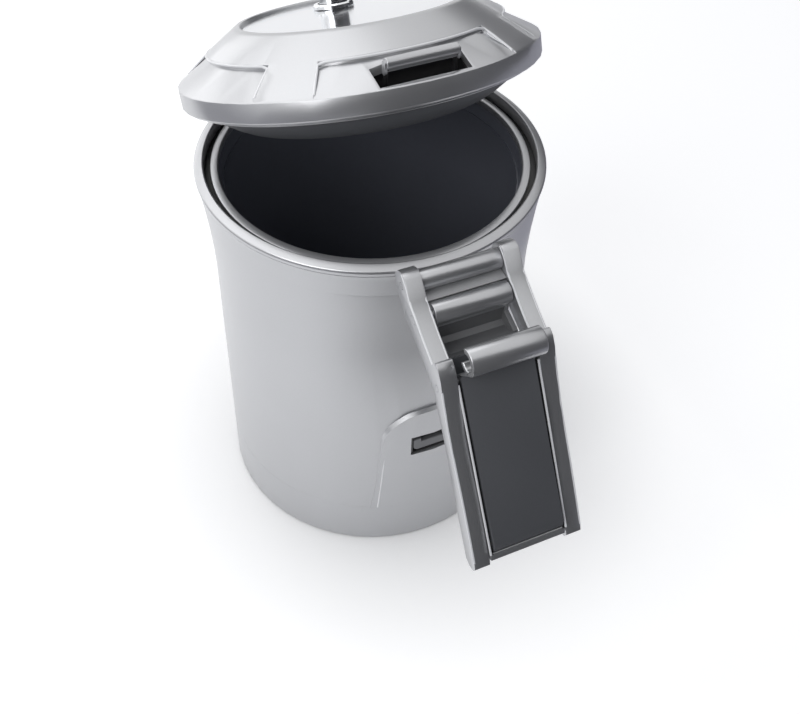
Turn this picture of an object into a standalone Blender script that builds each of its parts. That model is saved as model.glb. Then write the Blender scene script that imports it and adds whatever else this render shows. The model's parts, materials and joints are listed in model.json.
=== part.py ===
"""Vacuum canister for coffee beans: waisted silver body with an inner liner,
a hinged lid with a push-down air pump, and a swing handle with a grip lever.
Metres, Z up, the handle towards -Y, the base on the floor at Z = 0."""

import math

import bmesh
import bpy
from mathutils import Euler, Vector

# Clearances
SEAT_GAP = 0.0003
RUNNING_GAP = 0.0006
PIN_CLEARANCE = 0.0001
CUT_OVERRUN = 0.002

# Body, from the rim down
RIM_RADIUS = 0.068
BODY_HEIGHT = 0.170
WAIST_DEPTH = 0.0032
WAIST_DROP = 0.0456
WAIST_RADIUS = RIM_RADIUS - WAIST_DEPTH
WAIST_HEIGHT = BODY_HEIGHT - WAIST_DROP
SHELL_WALL = 0.0014
PARTING_GROOVE = 0.0004
SPIGOT_WALL = 0.0014
SPIGOT_HEIGHT = 0.0025
COLLAR_HEIGHT = 0.0143
RIM_LIP_WIDTH = 0.0030
RIM_EDGE_RADIUS = 0.0008
COUNTERBORE_DEPTH = 0.0075
COLLAR_FLOOR = 0.0024
LEDGE_WIDTH = 0.0068
COLLAR_INNER_RADIUS = RIM_RADIUS - LEDGE_WIDTH
TRIM_RING_HEIGHT = 0.0030
TRIM_RING_EDGE = 0.0006
LINER_STEP = 0.0036
LINER_INNER_RADIUS = COLLAR_INNER_RADIUS - LINER_STEP
LINER_WALL = 0.0012
LINER_TAPER = 0.0016
LINER_FLOOR = 0.0090
LINER_CORNER = 0.0050
LINER_FLANGE = 0.0012

# Base
BASE_RADIUS = RIM_RADIUS
BASE_BAND_HEIGHT = 0.0245
BASE_EDGE_RADIUS = 0.0010
BASE_RECESS = 0.0012
BASE_PLATE_THICKNESS = 0.0018
BASE_BOSS_RADIUS = 0.030
PAD_INSET = 0.010
PAD_RADIUS = BASE_RADIUS - PAD_INSET
PAD_REACH = 0.0004

# Raised arch panel on the front, with a recess for the tongue
PANEL_SET_IN = 0.0004
PANEL_RADIUS = RIM_RADIUS - PANEL_SET_IN
PANEL_FOOT_HALF_WIDTH = 0.0243
PANEL_HALF_WIDTH = 0.0207
PANEL_SHOULDER = 0.0700
PANEL_CROWN = 0.0193
PANEL_DRAFT_SHARE = 0.3
RECESS_HALF_WIDTH = 0.0099
RECESS_LOW = 0.0610
RECESS_HEIGHT = 0.0116
RECESS_HIGH = RECESS_LOW + RECESS_HEIGHT
RECESS_SET_IN = 0.0012
RECESS_FRONT = PANEL_RADIUS - RECESS_SET_IN
RECESS_DEPTH = 0.0050
RECESS_WALL = 0.0008
TONGUE_THICKNESS = 0.0022
TONGUE_BULGE = 0.0008
TONGUE_HEIGHT = 0.0060

# Rear hinge
HINGE_STANDOFF = 0.0043
HINGE_DROP = 0.0074
HINGE_DISTANCE = RIM_RADIUS + HINGE_STANDOFF
HINGE_HEIGHT = BODY_HEIGHT - HINGE_DROP
HINGE_BARREL_RADIUS = 0.0034
HINGE_PIN_RADIUS = 0.0015
HINGE_PIN_HEAD = 0.0006
HINGE_EAR_THICKNESS = 0.0050
HINGE_ARM_HALF_WIDTH = 0.0110
HINGE_BRACKET_HEIGHT = 0.0146
HINGE_BRACKET_LOW = HINGE_HEIGHT - HINGE_BRACKET_HEIGHT

# Lid, seen from the plane that the band's lower edge lies in
LID_OPEN_ANGLE = math.radians(22.7)
LID_SEAT_GAP = 0.0006
LID_SET_IN = 0.0012
LID_BAND_RADIUS = RIM_RADIUS - LID_SET_IN
LID_BAND_DRAFT = 0.0006
LID_BAND_TOP_RADIUS = LID_BAND_RADIUS - LID_BAND_DRAFT
LID_BAND_HEIGHT = 0.0080
LID_BAND_WALL = 0.0022
LID_EDGE_RADIUS = 0.0008
CONE_WIDTH = 0.0126
CONE_RISE = 0.0090
LID_SHOULDER_RADIUS = LID_BAND_TOP_RADIUS - CONE_WIDTH
LID_SHOULDER_RISE = LID_BAND_HEIGHT + CONE_RISE
CROWN_WIDTH = 0.0099
CROWN_RISE = 0.0071
RING_WIDTH = 0.0032
RING_ROUND = 0.0014
LID_RING_OUTER = LID_SHOULDER_RADIUS - CROWN_WIDTH
LID_RING_CREST = LID_RING_OUTER - RING_ROUND
LID_RING_INNER = LID_RING_OUTER - RING_WIDTH
LID_RING_RISE = LID_SHOULDER_RISE + CROWN_RISE
LID_DISC_DROP = 0.0012
LID_DISC_RISE = LID_RING_RISE - LID_DISC_DROP
LID_DISC_THICKNESS = 0.0014
LID_WALL = 0.0042
LID_INNER_LOW = 0.0054
LID_INNER_RISE = 0.0036
LID_SHELF = 0.0016
PANEL_STEP = 0.0022
PANEL_FOOT = 0.0015
PANEL_MARGIN = 0.0006
PANEL_STEP_ANGLE = 6

# Plug and seal
PLUG_CLEARANCE = 0.0018
PLUG_RADIUS = COLLAR_INNER_RADIUS - PLUG_CLEARANCE
PLUG_DEPTH = 0.0062
PLUG_WALL = 0.0018
SEAL_THICKNESS = 0.0016
SEAL_HEIGHT = 0.0030
SEAL_FACE_GAP = 0.0005

# Window and catch bar
WINDOW_HALF_WIDTH = 0.0160
WINDOW_DEPTH = 0.0112
WINDOW_BACK = LID_BAND_RADIUS - WINDOW_DEPTH
SILL_WIDTH = 0.0036
WINDOW_SILL = LID_BAND_RADIUS - SILL_WIDTH
SILL_DROP = 0.0002
WINDOW_LOW = LID_BAND_HEIGHT - SILL_DROP
TRAY_WALL = 0.0010
TRAY_SET_IN = 0.0065
TRAY_FRONT = LID_BAND_RADIUS - TRAY_SET_IN
TRAY_DEPTH = 0.0027
TRAY_LIP = 0.0008
CATCH_SET_IN = 0.0049
CATCH_LIFT = 0.0064
CATCH_FORWARD = LID_BAND_RADIUS - CATCH_SET_IN
CATCH_RISE = LID_BAND_HEIGHT + CATCH_LIFT
CATCH_RADIUS = 0.0019
CATCH_HALF_LENGTH = 0.0125
CATCH_EAR = 0.0012
CATCH_LIP = 0.0028
CATCH_LIP_THICKNESS = 0.0010
CATCH_PIN_RADIUS = 0.0008
CATCH_EYE_RADIUS = 0.0015
CATCH_PIVOT_SET_IN = 0.0096
CATCH_PIVOT_FORWARD = LID_BAND_RADIUS - CATCH_PIVOT_SET_IN
CATCH_PIVOT_RISE = 0.0056

# Air pump in the lid
KNOB_BACK = 0.0197
KNOB_RADIUS = 0.0054
KNOB_HEIGHT = 0.0150
KNOB_HEAD = 0.0008
KNOB_HEAD_HEIGHT = 0.0020
KNOB_COLLAR_RADIUS = 0.0078
KNOB_COLLAR_HEIGHT = 0.0016
KNOB_STROKE = 0.0060
ROD_RADIUS = 0.0020
ROD_LENGTH = 0.0030
SEAL_RING = 0.0012
BARREL_RADIUS = 0.0110
BARREL_WALL = 0.0012
BARREL_DEPTH = 0.0240
PISTON_THICKNESS = 0.0030
PUMP_WIRE_RADIUS = 0.0004
PUMP_COIL_RADIUS = 0.0045
PUMP_COIL_TURNS = 5
VALVE_RADIUS = 0.0032
VALVE_THICKNESS = 0.0008
VALVE_STEM_RADIUS = 0.0011

# Handle, seen from the side: distance in front of the body's axis, height
ARM_GAP_HALF = 0.0152
ARM_THICKNESS = 0.0060
ARM_EDGE = 0.0005
BOSS_STANDOFF = 0.0095
BOSS_RISE = 0.0037
BOSS_DISTANCE = RIM_RADIUS + BOSS_STANDOFF
BOSS_HEIGHT = BODY_HEIGHT + BOSS_RISE
BOSS_RADIUS = 0.0054
CROSSBAR_RADIUS = 0.0037
CROSSBAR_PIN_RADIUS = 0.0013
CROSSBAR_LIP = 0.0014
HANDLE_STANDOFF = 0.0194
HANDLE_DROP = 0.0031
HANDLE_PIVOT_DISTANCE = RIM_RADIUS + HANDLE_STANDOFF
HANDLE_PIVOT_HEIGHT = BODY_HEIGHT - HANDLE_DROP
HANDLE_BARREL_RADIUS = 0.0040
HANDLE_PIN_RADIUS = 0.0016
GRIP_END_STANDOFF = 0.0768
GRIP_END_DROP = 0.0734
GRIP_END_DISTANCE = RIM_RADIUS + GRIP_END_STANDOFF
GRIP_END_HEIGHT = BODY_HEIGHT - GRIP_END_DROP
GRIP_BACK_THICKNESS = 0.0030
GRIP_BACK_SET_IN = 0.0062
GRIP_BACK_START = 0.0040
GRIP_BACK_LENGTH = 0.0600

# Fixed cradle under the handle's bosses
BRACKET_HALF_WIDTH = 0.0142
BRACKET_DROP = 0.0160
BRACKET_HIGH = BODY_HEIGHT - BRACKET_DROP
BRACKET_REACH_DOWN = 0.0354
BRACKET_LOW = BODY_HEIGHT - BRACKET_REACH_DOWN
CRADLE_REACH = 0.0100
CRADLE_DROP = 0.0130
CRADLE_LIP = 0.0034
CRADLE_STRIP = 0.0030
CRADLE_CHEEK = 0.0018

# Grip plate and the hook roll on its top
LEVER_STANDOFF = 0.0394
LEVER_DROP = 0.0163
LEVER_DISTANCE = RIM_RADIUS + LEVER_STANDOFF
LEVER_HEIGHT = BODY_HEIGHT - LEVER_DROP
LEVER_PIN_RADIUS = 0.0012
LEVER_EYE_WALL = 0.0012
LEVER_HALF_WIDTH = 0.0136
PLATE_THICKNESS = 0.0026
PLATE_RISE = 0.0094
PLATE_PROUD = 0.0026
PLATE_END_GAP = 0.0012
HOOK_STANDOFF = 0.0440
HOOK_DROP = 0.0024
HOOK_DISTANCE = RIM_RADIUS + HOOK_STANDOFF
HOOK_HEIGHT = BODY_HEIGHT - HOOK_DROP
HOOK_RADIUS = 0.0050
HOOK_WALL = 0.0020
HOOK_FOOT = 0.0026

# Smoothness
LARGE_SEGMENTS = 48
MEDIUM_SEGMENTS = 24
SMALL_SEGMENTS = 16
ARC_STEPS = 6
COIL_SIDES_STEPS = 10

MATERIAL_LOOKS = {
    "silver_paint": ((0.62, 0.63, 0.64), 0.34, 0.75),
    "polished_metal": ((0.80, 0.81, 0.82), 0.12, 1.0),
    "chrome": ((0.86, 0.87, 0.88), 0.06, 1.0),
    "dark_liner": ((0.030, 0.032, 0.036), 0.22, 0.3),
    "dark_grey": ((0.085, 0.088, 0.095), 0.42, 0.0),
    "black_plastic": ((0.015, 0.015, 0.016), 0.35, 0.0),
    "rubber": ((0.030, 0.030, 0.030), 0.75, 0.0),
    "clear_rubber": ((0.45, 0.45, 0.44), 0.45, 0.0),
    "steel": ((0.55, 0.55, 0.56), 0.25, 1.0),
}


def clear_scene():
    for item in list(bpy.data.objects):
        bpy.data.objects.remove(item, do_unlink=True)


def make_collection(name):
    collection = bpy.data.collections.new(name)
    bpy.context.scene.collection.children.link(collection)
    return collection


def make_material(name):
    colour, roughness, metallic = MATERIAL_LOOKS[name]
    material = bpy.data.materials.new(name)
    material.use_nodes = True
    shader = material.node_tree.nodes["Principled BSDF"]
    shader.inputs["Base Color"].default_value = (*colour, 1)
    shader.inputs["Roughness"].default_value = roughness
    shader.inputs["Metallic"].default_value = metallic
    return material


clear_scene()
PARTS = make_collection("vacuum_canister")
CUTTERS = make_collection("cutters")
SIDE_VIEW = Euler((math.pi / 2, 0, -math.pi / 2))


def finish(item, name, material):
    """Name a piece, give it its own material and put it among the parts."""
    item.name = name
    item.data.name = name
    look = make_material(material)
    look.name = name + "_" + material
    item.data.materials.append(look)
    for collection in list(item.users_collection):
        collection.objects.unlink(item)
    PARTS.objects.link(item)
    if item.type == "MESH":
        item.data.shade_smooth()
        item.data.set_sharp_from_angle(angle=math.radians(35))
    return item


def helper(item, name):
    """Put a cutter or a shape to be joined among the helpers."""
    item.name = name
    for collection in list(item.users_collection):
        collection.objects.unlink(item)
    CUTTERS.objects.link(item)
    item.hide_render = True
    item.display_type = "WIRE"
    return item


def new_mesh_object(name, bm):
    mesh = bpy.data.meshes.new(name)
    bm.to_mesh(mesh)
    bm.free()
    item = bpy.data.objects.new(name, mesh)
    PARTS.objects.link(item)
    return item


def box(name, low, high):
    """A box between two corners."""
    bm = bmesh.new()
    bmesh.ops.create_cube(bm, size=1)
    bmesh.ops.scale(bm, vec=Vector(high) - Vector(low), verts=bm.verts)
    item = new_mesh_object(name, bm)
    item.location = (Vector(high) + Vector(low)) / 2
    return item


def rod(name, radius, length, centre, axis, segments=SMALL_SEGMENTS):
    """A solid cylinder whose middle is at the centre, along X, Y or Z."""
    bm = bmesh.new()
    bmesh.ops.create_cone(bm, cap_ends=True, segments=segments,
                          radius1=radius, radius2=radius, depth=length)
    item = new_mesh_object(name, bm)
    turns = {"X": (0, math.pi / 2, 0), "Y": (math.pi / 2, 0, 0), "Z": (0, 0, 0)}
    item.rotation_euler = turns[axis]
    item.location = centre
    return item


def turned(name, profile, segments=LARGE_SEGMENTS, centre=(0, 0, 0)):
    """Turn a closed profile of (radius, height) about Z. It starts at the top
    and runs down its outer side."""
    bm = bmesh.new()
    corners = []
    for radius, height in profile:
        corners.append(bm.verts.new((radius, 0, height)))
    count = len(corners)
    closed = min(profile[0][0], profile[-1][0]) > 0
    for index in range(count if closed else count - 1):
        bm.edges.new((corners[index], corners[(index + 1) % count]))
    item = new_mesh_object(name, bm)
    screw = item.modifiers.new("turn", "SCREW")
    screw.steps = segments
    screw.render_steps = segments
    screw.axis = "Z"
    screw.use_merge_vertices = True
    screw.merge_threshold = 0.00001
    screw.use_smooth_shade = True
    item.location = centre
    return item


def slab(name, outline, low_x, high_x):
    """A plate with a side-view outline of (distance in front, height)."""
    curve = bpy.data.curves.new(name, "CURVE")
    curve.dimensions = "2D"
    curve.fill_mode = "BOTH"
    curve.extrude = abs(high_x - low_x) / 2
    spline = curve.splines.new("POLY")
    spline.points.add(len(outline) - 1)
    for point, (distance, height) in zip(spline.points, outline):
        point.co = (distance, height, 0, 1)
    spline.use_cyclic_u = True
    item = bpy.data.objects.new(name, curve)
    PARTS.objects.link(item)
    item.rotation_euler = SIDE_VIEW
    item.location = ((low_x + high_x) / 2, 0, 0)
    return as_mesh(item)


def as_mesh(item):
    """Make a curve a welded mesh with the same place."""
    bpy.context.view_layer.update()
    graph = bpy.context.evaluated_depsgraph_get()
    mesh = bpy.data.meshes.new_from_object(item.evaluated_get(graph))
    bm = bmesh.new()
    bm.from_mesh(mesh)
    bmesh.ops.remove_doubles(bm, verts=bm.verts, dist=0.000001)
    bmesh.ops.recalc_face_normals(bm, faces=bm.faces)
    bm.to_mesh(mesh)
    bm.free()
    solid = bpy.data.objects.new(item.name, mesh)
    PARTS.objects.link(solid)
    solid.matrix_world = item.matrix_world
    bpy.data.objects.remove(item, do_unlink=True)
    return solid


def wire(name, points, radius):
    """A round wire through the points."""
    curve = bpy.data.curves.new(name, "CURVE")
    curve.dimensions = "3D"
    curve.bevel_depth = radius
    curve.bevel_resolution = 2
    curve.use_fill_caps = True
    spline = curve.splines.new("POLY")
    spline.points.add(len(points) - 1)
    for point, place in zip(spline.points, points):
        point.co = (*place, 1)
    item = bpy.data.objects.new(name, curve)
    PARTS.objects.link(item)
    return as_mesh(item)


def combine(item, other, operation):
    helper(other, item.name + "_" + other.name)
    step = item.modifiers.new(other.name, "BOOLEAN")
    step.operation = operation
    step.solver = "EXACT"
    step.object = other
    return item


def cut(item, other):
    return combine(item, other, "DIFFERENCE")


def add(item, other):
    return combine(item, other, "UNION")


def keep_inside(item, other):
    return combine(item, other, "INTERSECT")


def soften(item, width, angle=40):
    """Round the edges of a simple piece."""
    bevel = item.modifiers.new("soft_edges", "BEVEL")
    bevel.width = width
    bevel.segments = 2
    bevel.limit_method = "ANGLE"
    bevel.angle_limit = math.radians(angle)
    return item


def pivot(name, place, tilt=0, parent=None):
    """An empty on a joint's axis."""
    item = bpy.data.objects.new(name, None)
    PARTS.objects.link(item)
    item.location = place
    item.rotation_euler = (tilt, 0, 0)
    item.parent = parent
    return item


def carry(parent, *items):
    """Hang pieces, and their helpers, on an empty."""
    for item in items:
        item.parent = parent
        for step in item.modifiers:
            if step.type == "BOOLEAN":
                carry(parent, step.object)


def arc(centre, radius, start, end, steps=ARC_STEPS):
    """Points on an arc in a (distance, height) plane, in degrees."""
    points = []
    for index in range(steps + 1):
        angle = math.radians(start + (end - start) * index / steps)
        points.append((centre[0] + radius * math.cos(angle),
                       centre[1] + radius * math.sin(angle)))
    return points


def body_radius(height, inset=0):
    """Outer radius of the body at a height."""
    if height <= WAIST_HEIGHT:
        share = height / WAIST_HEIGHT
        return BASE_RADIUS + (WAIST_RADIUS - BASE_RADIUS) * share - inset
    share = (height - WAIST_HEIGHT) / (BODY_HEIGHT - WAIST_HEIGHT)
    return WAIST_RADIUS + (RIM_RADIUS - WAIST_RADIUS) * share * share - inset


def body_side(low, high, inset=0, steps=ARC_STEPS):
    """Points down the body's side from the high to the low height."""
    points = []
    for index in range(steps + 1):
        height = high + (low - high) * index / steps
        points.append((body_radius(height, inset), height))
    return points


def body_envelope(name, gap):
    """Everything inside the body's outer surface, with a gap."""
    side = body_side(0, BODY_HEIGHT, -gap, 2 * ARC_STEPS)
    top = BODY_HEIGHT + CUT_OVERRUN
    side[0] = (side[0][0], top)
    return turned(name, [(0, top)] + side + [(0, 0)])


def arch_outline(inset=0):
    """The arch panel seen from the front: a round crown on sides that spread
    towards the foot."""
    half = PANEL_HALF_WIDTH - inset
    foot = PANEL_FOOT_HALF_WIDTH - inset
    outline = [(foot, BASE_BAND_HEIGHT)]
    for across, up in arc((0, 0), 1, 0, 180, 4 * ARC_STEPS):
        side = 1 if across > 0 else -1
        wide = side * half * math.sqrt(abs(across))
        outline.append((wide, PANEL_SHOULDER + (PANEL_CROWN - inset) * up))
    outline.append((-foot, BASE_BAND_HEIGHT))
    return outline


def make_arch_panel():
    """The raised panel, as high as the base band all the way up, with sides
    that slope back to the body."""
    front = RIM_RADIUS + CUT_OVERRUN
    depth = PANEL_HALF_WIDTH
    bm = bmesh.new()
    loops = []
    for distance, inset in ((front, 0), (front - depth, -PANEL_DRAFT_SHARE * depth)):
        loops.append([bm.verts.new((wide, -distance, height))
                      for wide, height in arch_outline(inset)])
    count = len(loops[0])
    bm.faces.new(loops[0])
    bm.faces.new(reversed(loops[1]))
    for index in range(count):
        after = (index + 1) % count
        bm.faces.new((loops[0][index], loops[1][index], loops[1][after], loops[0][after]))
    bmesh.ops.recalc_face_normals(bm, faces=bm.faces)
    panel = new_mesh_object("arch", bm)
    low = BASE_BAND_HEIGHT
    room = turned("room", [(0, BODY_HEIGHT), (PANEL_RADIUS, BODY_HEIGHT), (PANEL_RADIUS, low),
                           (0, low)])
    return keep_inside(panel, room)


def make_outer_shell():
    low = BASE_BAND_HEIGHT
    high = BODY_HEIGHT - COLLAR_HEIGHT
    side = body_side(low, high, 0, 2 * ARC_STEPS)
    shell = turned("shell", [(0, high)] + side + [(0, low)])
    add(shell, make_arch_panel())
    inner_side = body_side(low, high, SHELL_WALL, 2 * ARC_STEPS)
    top = high + CUT_OVERRUN
    bottom = low - CUT_OVERRUN
    hollow = turned("hollow", [(0, top), (inner_side[0][0], top)] + inner_side
                    + [(inner_side[-1][0], bottom), (0, bottom)])
    cut(shell, hollow)
    window = box("window", (-RECESS_HALF_WIDTH, -PANEL_RADIUS - CUT_OVERRUN, RECESS_LOW),
                 (RECESS_HALF_WIDTH, -LINER_INNER_RADIUS, RECESS_HIGH))
    cut(shell, window)
    return finish(shell, "outer_shell", "silver_paint")


def make_base_ring():
    top = BASE_BAND_HEIGHT - PARTING_GROOVE
    low = PAD_REACH
    outer = body_radius(top)
    inside = body_radius(BASE_BAND_HEIGHT, SHELL_WALL + SEAT_GAP)
    inner = inside - SPIGOT_WALL
    spigot = BASE_BAND_HEIGHT + SPIGOT_HEIGHT
    edge = arc((body_radius(0) - BASE_EDGE_RADIUS, low + BASE_EDGE_RADIUS),
               BASE_EDGE_RADIUS, 0, -90, 4)
    profile = [(inside, spigot), (inside, top), (outer, top)] + edge
    profile += [(inner, low), (inner, spigot)]
    ring = turned("ring", profile)
    return finish(ring, "base_ring", "silver_paint")


def make_base_plate():
    outer = body_radius(BASE_BAND_HEIGHT, SHELL_WALL + SEAT_GAP) - SPIGOT_WALL - SEAT_GAP
    low = PAD_REACH + BASE_RECESS
    high = low + BASE_PLATE_THICKNESS
    boss = LINER_FLOOR - LINER_WALL - SEAT_GAP
    profile = [(0, boss), (BASE_BOSS_RADIUS, boss), (BASE_BOSS_RADIUS, high),
               (outer, high), (outer, low), (0, low)]
    return finish(turned("plate", profile), "base_plate", "dark_grey")


def make_base_pad():
    high = PAD_REACH + BASE_RECESS - SEAT_GAP
    edge = BASE_RECESS / 2
    profile = [(0, high), (PAD_RADIUS, high), (PAD_RADIUS, edge),
               (PAD_RADIUS - edge, 0), (0, 0)]
    return finish(turned("pad", profile), "base_pad", "rubber")


def collar_profile():
    high = BODY_HEIGHT
    low = BODY_HEIGHT - COLLAR_HEIGHT + PARTING_GROOVE
    joint = BODY_HEIGHT - COLLAR_HEIGHT
    lip = RIM_RADIUS - RIM_LIP_WIDTH
    floor = high - COUNTERBORE_DEPTH
    spigot = body_radius(joint, SHELL_WALL + SEAT_GAP)
    inner = spigot - SPIGOT_WALL
    edge = arc((RIM_RADIUS - RIM_EDGE_RADIUS, high - RIM_EDGE_RADIUS),
               RIM_EDGE_RADIUS, 90, 0, 3)
    side = body_side(low, high - RIM_EDGE_RADIUS, 0)[1:]
    profile = edge + side + [(spigot, low), (spigot, joint - SPIGOT_HEIGHT),
                             (inner, joint - SPIGOT_HEIGHT), (inner, floor - COLLAR_FLOOR),
                             (COLLAR_INNER_RADIUS, floor - COLLAR_FLOOR),
                             (COLLAR_INNER_RADIUS, floor), (lip, floor), (lip, high)]
    return profile


def make_rim_collar():
    collar = turned("collar", collar_profile())
    return finish(collar, "rim_collar", "silver_paint")


def liner_radius(height):
    """Inner radius of the liner at a height."""
    return LINER_INNER_RADIUS - LINER_TAPER * (1 - height / BODY_HEIGHT)


def make_liner():
    flange = BODY_HEIGHT - COUNTERBORE_DEPTH - COLLAR_FLOOR - SEAT_GAP
    inner_top = liner_radius(flange)
    corner_radius = liner_radius(LINER_FLOOR) - LINER_CORNER
    inside = arc((corner_radius, LINER_FLOOR + LINER_CORNER), LINER_CORNER, -90, 0, 4)
    outside = arc((corner_radius, LINER_FLOOR + LINER_CORNER),
                  LINER_CORNER + LINER_WALL, 0, -90, 4)
    edge = COLLAR_INNER_RADIUS + LINER_FLANGE
    under = flange - LINER_FLANGE
    profile = [(0, LINER_FLOOR)] + inside + [(inner_top, flange), (edge, flange)]
    profile += [(edge, under), (liner_radius(under) + LINER_WALL, under)] + outside
    profile += [(0, LINER_FLOOR - LINER_WALL)]
    return finish(turned("cup", profile), "liner", "dark_liner")


def make_trim_ring():
    low = BODY_HEIGHT - COUNTERBORE_DEPTH - COLLAR_FLOOR
    high = low + TRIM_RING_HEIGHT
    outer = COLLAR_INNER_RADIUS - SEAT_GAP
    inner = liner_radius(BODY_HEIGHT) + TRIM_RING_EDGE
    profile = [(outer - TRIM_RING_EDGE, high), (outer, high - TRIM_RING_EDGE),
               (outer, low), (inner, low), (inner, high - TRIM_RING_EDGE),
               (inner + TRIM_RING_EDGE, high)]
    return finish(turned("ring", profile), "trim_ring", "polished_metal")


def make_recess_pocket():
    """A shallow tray behind the window of the arch panel."""
    half = RECESS_HALF_WIDTH - SEAT_GAP
    low = RECESS_LOW + SEAT_GAP
    high = RECESS_HIGH - SEAT_GAP
    front = -RECESS_FRONT
    back = front + RECESS_DEPTH
    tray = box("tray", (-half, front, low), (half, back, high))
    wall = RECESS_WALL
    hollow = box("hollow", (wall - half, front - CUT_OVERRUN, low + wall),
                 (half - wall, back - wall, high - wall))
    return finish(cut(tray, hollow), "recess_pocket", "black_plastic")


def make_release_tongue():
    """A tongue with a bulging front that is pressed into the tray."""
    low = RECESS_LOW + SEAT_GAP + RECESS_WALL + RUNNING_GAP
    high = low + TONGUE_HEIGHT
    half = RECESS_HALF_WIDTH - SEAT_GAP - RECESS_WALL - RUNNING_GAP
    front = RECESS_FRONT
    middle = front - TONGUE_THICKNESS / 2
    bulge = TONGUE_BULGE
    outline = [(front - TONGUE_THICKNESS, low), (front - bulge, low), (front - bulge / 4, low + bulge),
               (front, low + TONGUE_HEIGHT / 3), (front - bulge / 3, low + TONGUE_HEIGHT * 2 / 3),
               (front - bulge, high - bulge / 3), (front - 3 * bulge / 2, high),
               (front - TONGUE_THICKNESS, high)]
    tongue = slab("tongue", outline, -half, half)
    spot = pivot("tongue_press_axis", (0, -middle, low))
    carry(spot, tongue)
    tongue.location.y += middle
    tongue.location.z -= low
    return finish(tongue, "release_tongue", "dark_grey")


def pin(name, radius, length, distance, height, head=0, parent=None):
    """A steel pin along X, with a slightly larger head at each end."""
    item = rod("pin", radius, length, (0, -distance, height), "X")
    for side in (-1, 1):
        if head:
            thick = head
            centre = (side * (length + thick) / 2, -distance, height)
            add(item, rod("head", radius + head, thick + SEAT_GAP, centre, "X"))
    if parent:
        carry(parent, item)
    return finish(item, name, "steel")


def make_hinge_bracket():
    half = HINGE_ARM_HALF_WIDTH + RUNNING_GAP + HINGE_EAR_THICKNESS
    far = -HINGE_DISTANCE
    crown = arc((far, HINGE_HEIGHT), HINGE_BARREL_RADIUS, 90, 215, 8)
    outline = [(-COLLAR_INNER_RADIUS, HINGE_HEIGHT + HINGE_BARREL_RADIUS)] + crown
    outline += [(-body_radius(HINGE_BRACKET_LOW) - HINGE_BARREL_RADIUS / 2, HINGE_BRACKET_LOW),
                (-COLLAR_INNER_RADIUS, HINGE_BRACKET_LOW)]
    bracket = slab("bracket", outline, -half, half)
    cut(bracket, body_envelope("body", SEAT_GAP))
    slot_half = HINGE_ARM_HALF_WIDTH + RUNNING_GAP
    slot_low = HINGE_HEIGHT - HINGE_BARREL_RADIUS - RUNNING_GAP
    slot_near = -far - HINGE_BARREL_RADIUS - RUNNING_GAP
    slot = box("slot", (-slot_half, slot_near, slot_low),
               (slot_half, BODY_HEIGHT, BODY_HEIGHT))
    cut(bracket, slot)
    bore = rod("bore", HINGE_PIN_RADIUS + PIN_CLEARANCE, 2 * half + CUT_OVERRUN,
               (0, -far, HINGE_HEIGHT), "X")
    cut(bracket, bore)
    return finish(bracket, "hinge_bracket", "silver_paint")


def make_front_bracket():
    """The fixed cradle under the handle's bosses: a barrel along its top, a
    pocket below the barrel and a foot shaped to the body."""
    centre = (HANDLE_PIVOT_DISTANCE, HANDLE_PIVOT_HEIGHT)
    roll = HANDLE_BARREL_RADIUS
    root = COLLAR_INNER_RADIUS
    crown = arc(centre, roll, -60, 205, 12)
    front = centre[0] + CRADLE_REACH
    low_front = centre[1] - CRADLE_DROP
    outline = [(root, BRACKET_LOW), (body_radius(BRACKET_LOW) + SEAT_GAP, BRACKET_LOW),
               (centre[0] - roll, low_front - CRADLE_LIP), (front, low_front),
               (front - SEAT_GAP, low_front + CRADLE_LIP),
               (centre[0] + roll / 2, centre[1] - CRADLE_STRIP - roll)] + crown
    outline += [(body_radius(BRACKET_HIGH), BRACKET_HIGH), (root, BRACKET_HIGH)]
    half = BRACKET_HALF_WIDTH
    bracket = slab("bracket", outline, -half, half)
    cut(bracket, body_envelope("body", SEAT_GAP))
    inner = half - CRADLE_CHEEK
    top = centre[1] - CRADLE_STRIP - roll / 2
    floor = low_front + CRADLE_LIP / 4
    near = centre[0] + roll / 3
    pocket_outline = [(near, top), (near, floor + CRADLE_CHEEK / 2),
                      (near + CRADLE_CHEEK, floor - CRADLE_CHEEK / 3),
                      (front - CRADLE_CHEEK, floor + CRADLE_CHEEK / 2),
                      (front + CRADLE_CHEEK, floor + CRADLE_CHEEK),
                      (front + CRADLE_CHEEK, top)]
    cut(bracket, slab("pocket", pocket_outline, -inner, inner))
    bore = rod("bore", HANDLE_PIN_RADIUS + PIN_CLEARANCE, 2 * half + CUT_OVERRUN,
               (0, -centre[0], centre[1]), "X")
    cut(bracket, bore)
    return finish(bracket, "front_bracket", "silver_paint")

# The arm's front and back outline, from the boss to the grip's end
ARM_FRONT_SHARES = ((0.111, 0.022), (0.183, 0.061), (0.273, 0.110), (0.385, 0.162), (0.402, 0.136),
                    (0.418, 0.131), (0.450, 0.150), (0.482, 0.192), (0.502, 0.238), (0.542, 0.313),
                    (0.617, 0.440), (0.703, 0.562),
                    (0.802, 0.697), (0.906, 0.848), (0.990, 0.975), (1.000, 1.000))
ARM_BACK_SHARES = ((0.985, 1.028), (0.940, 1.040), (0.899, 1.030), (0.807, 0.896), (0.700, 0.738),
                   (0.599, 0.565), (0.513, 0.441), (0.421, 0.316), (0.303, 0.245), (0.177, 0.192),
                   (0.051, 0.136))


def arm_point(across, down):
    """A point of the handle's side view, from shares of its reach and drop."""
    reach = GRIP_END_DISTANCE - BOSS_DISTANCE
    drop = BOSS_HEIGHT - GRIP_END_HEIGHT
    return (BOSS_DISTANCE + reach * across, BOSS_HEIGHT - drop * down)


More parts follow.
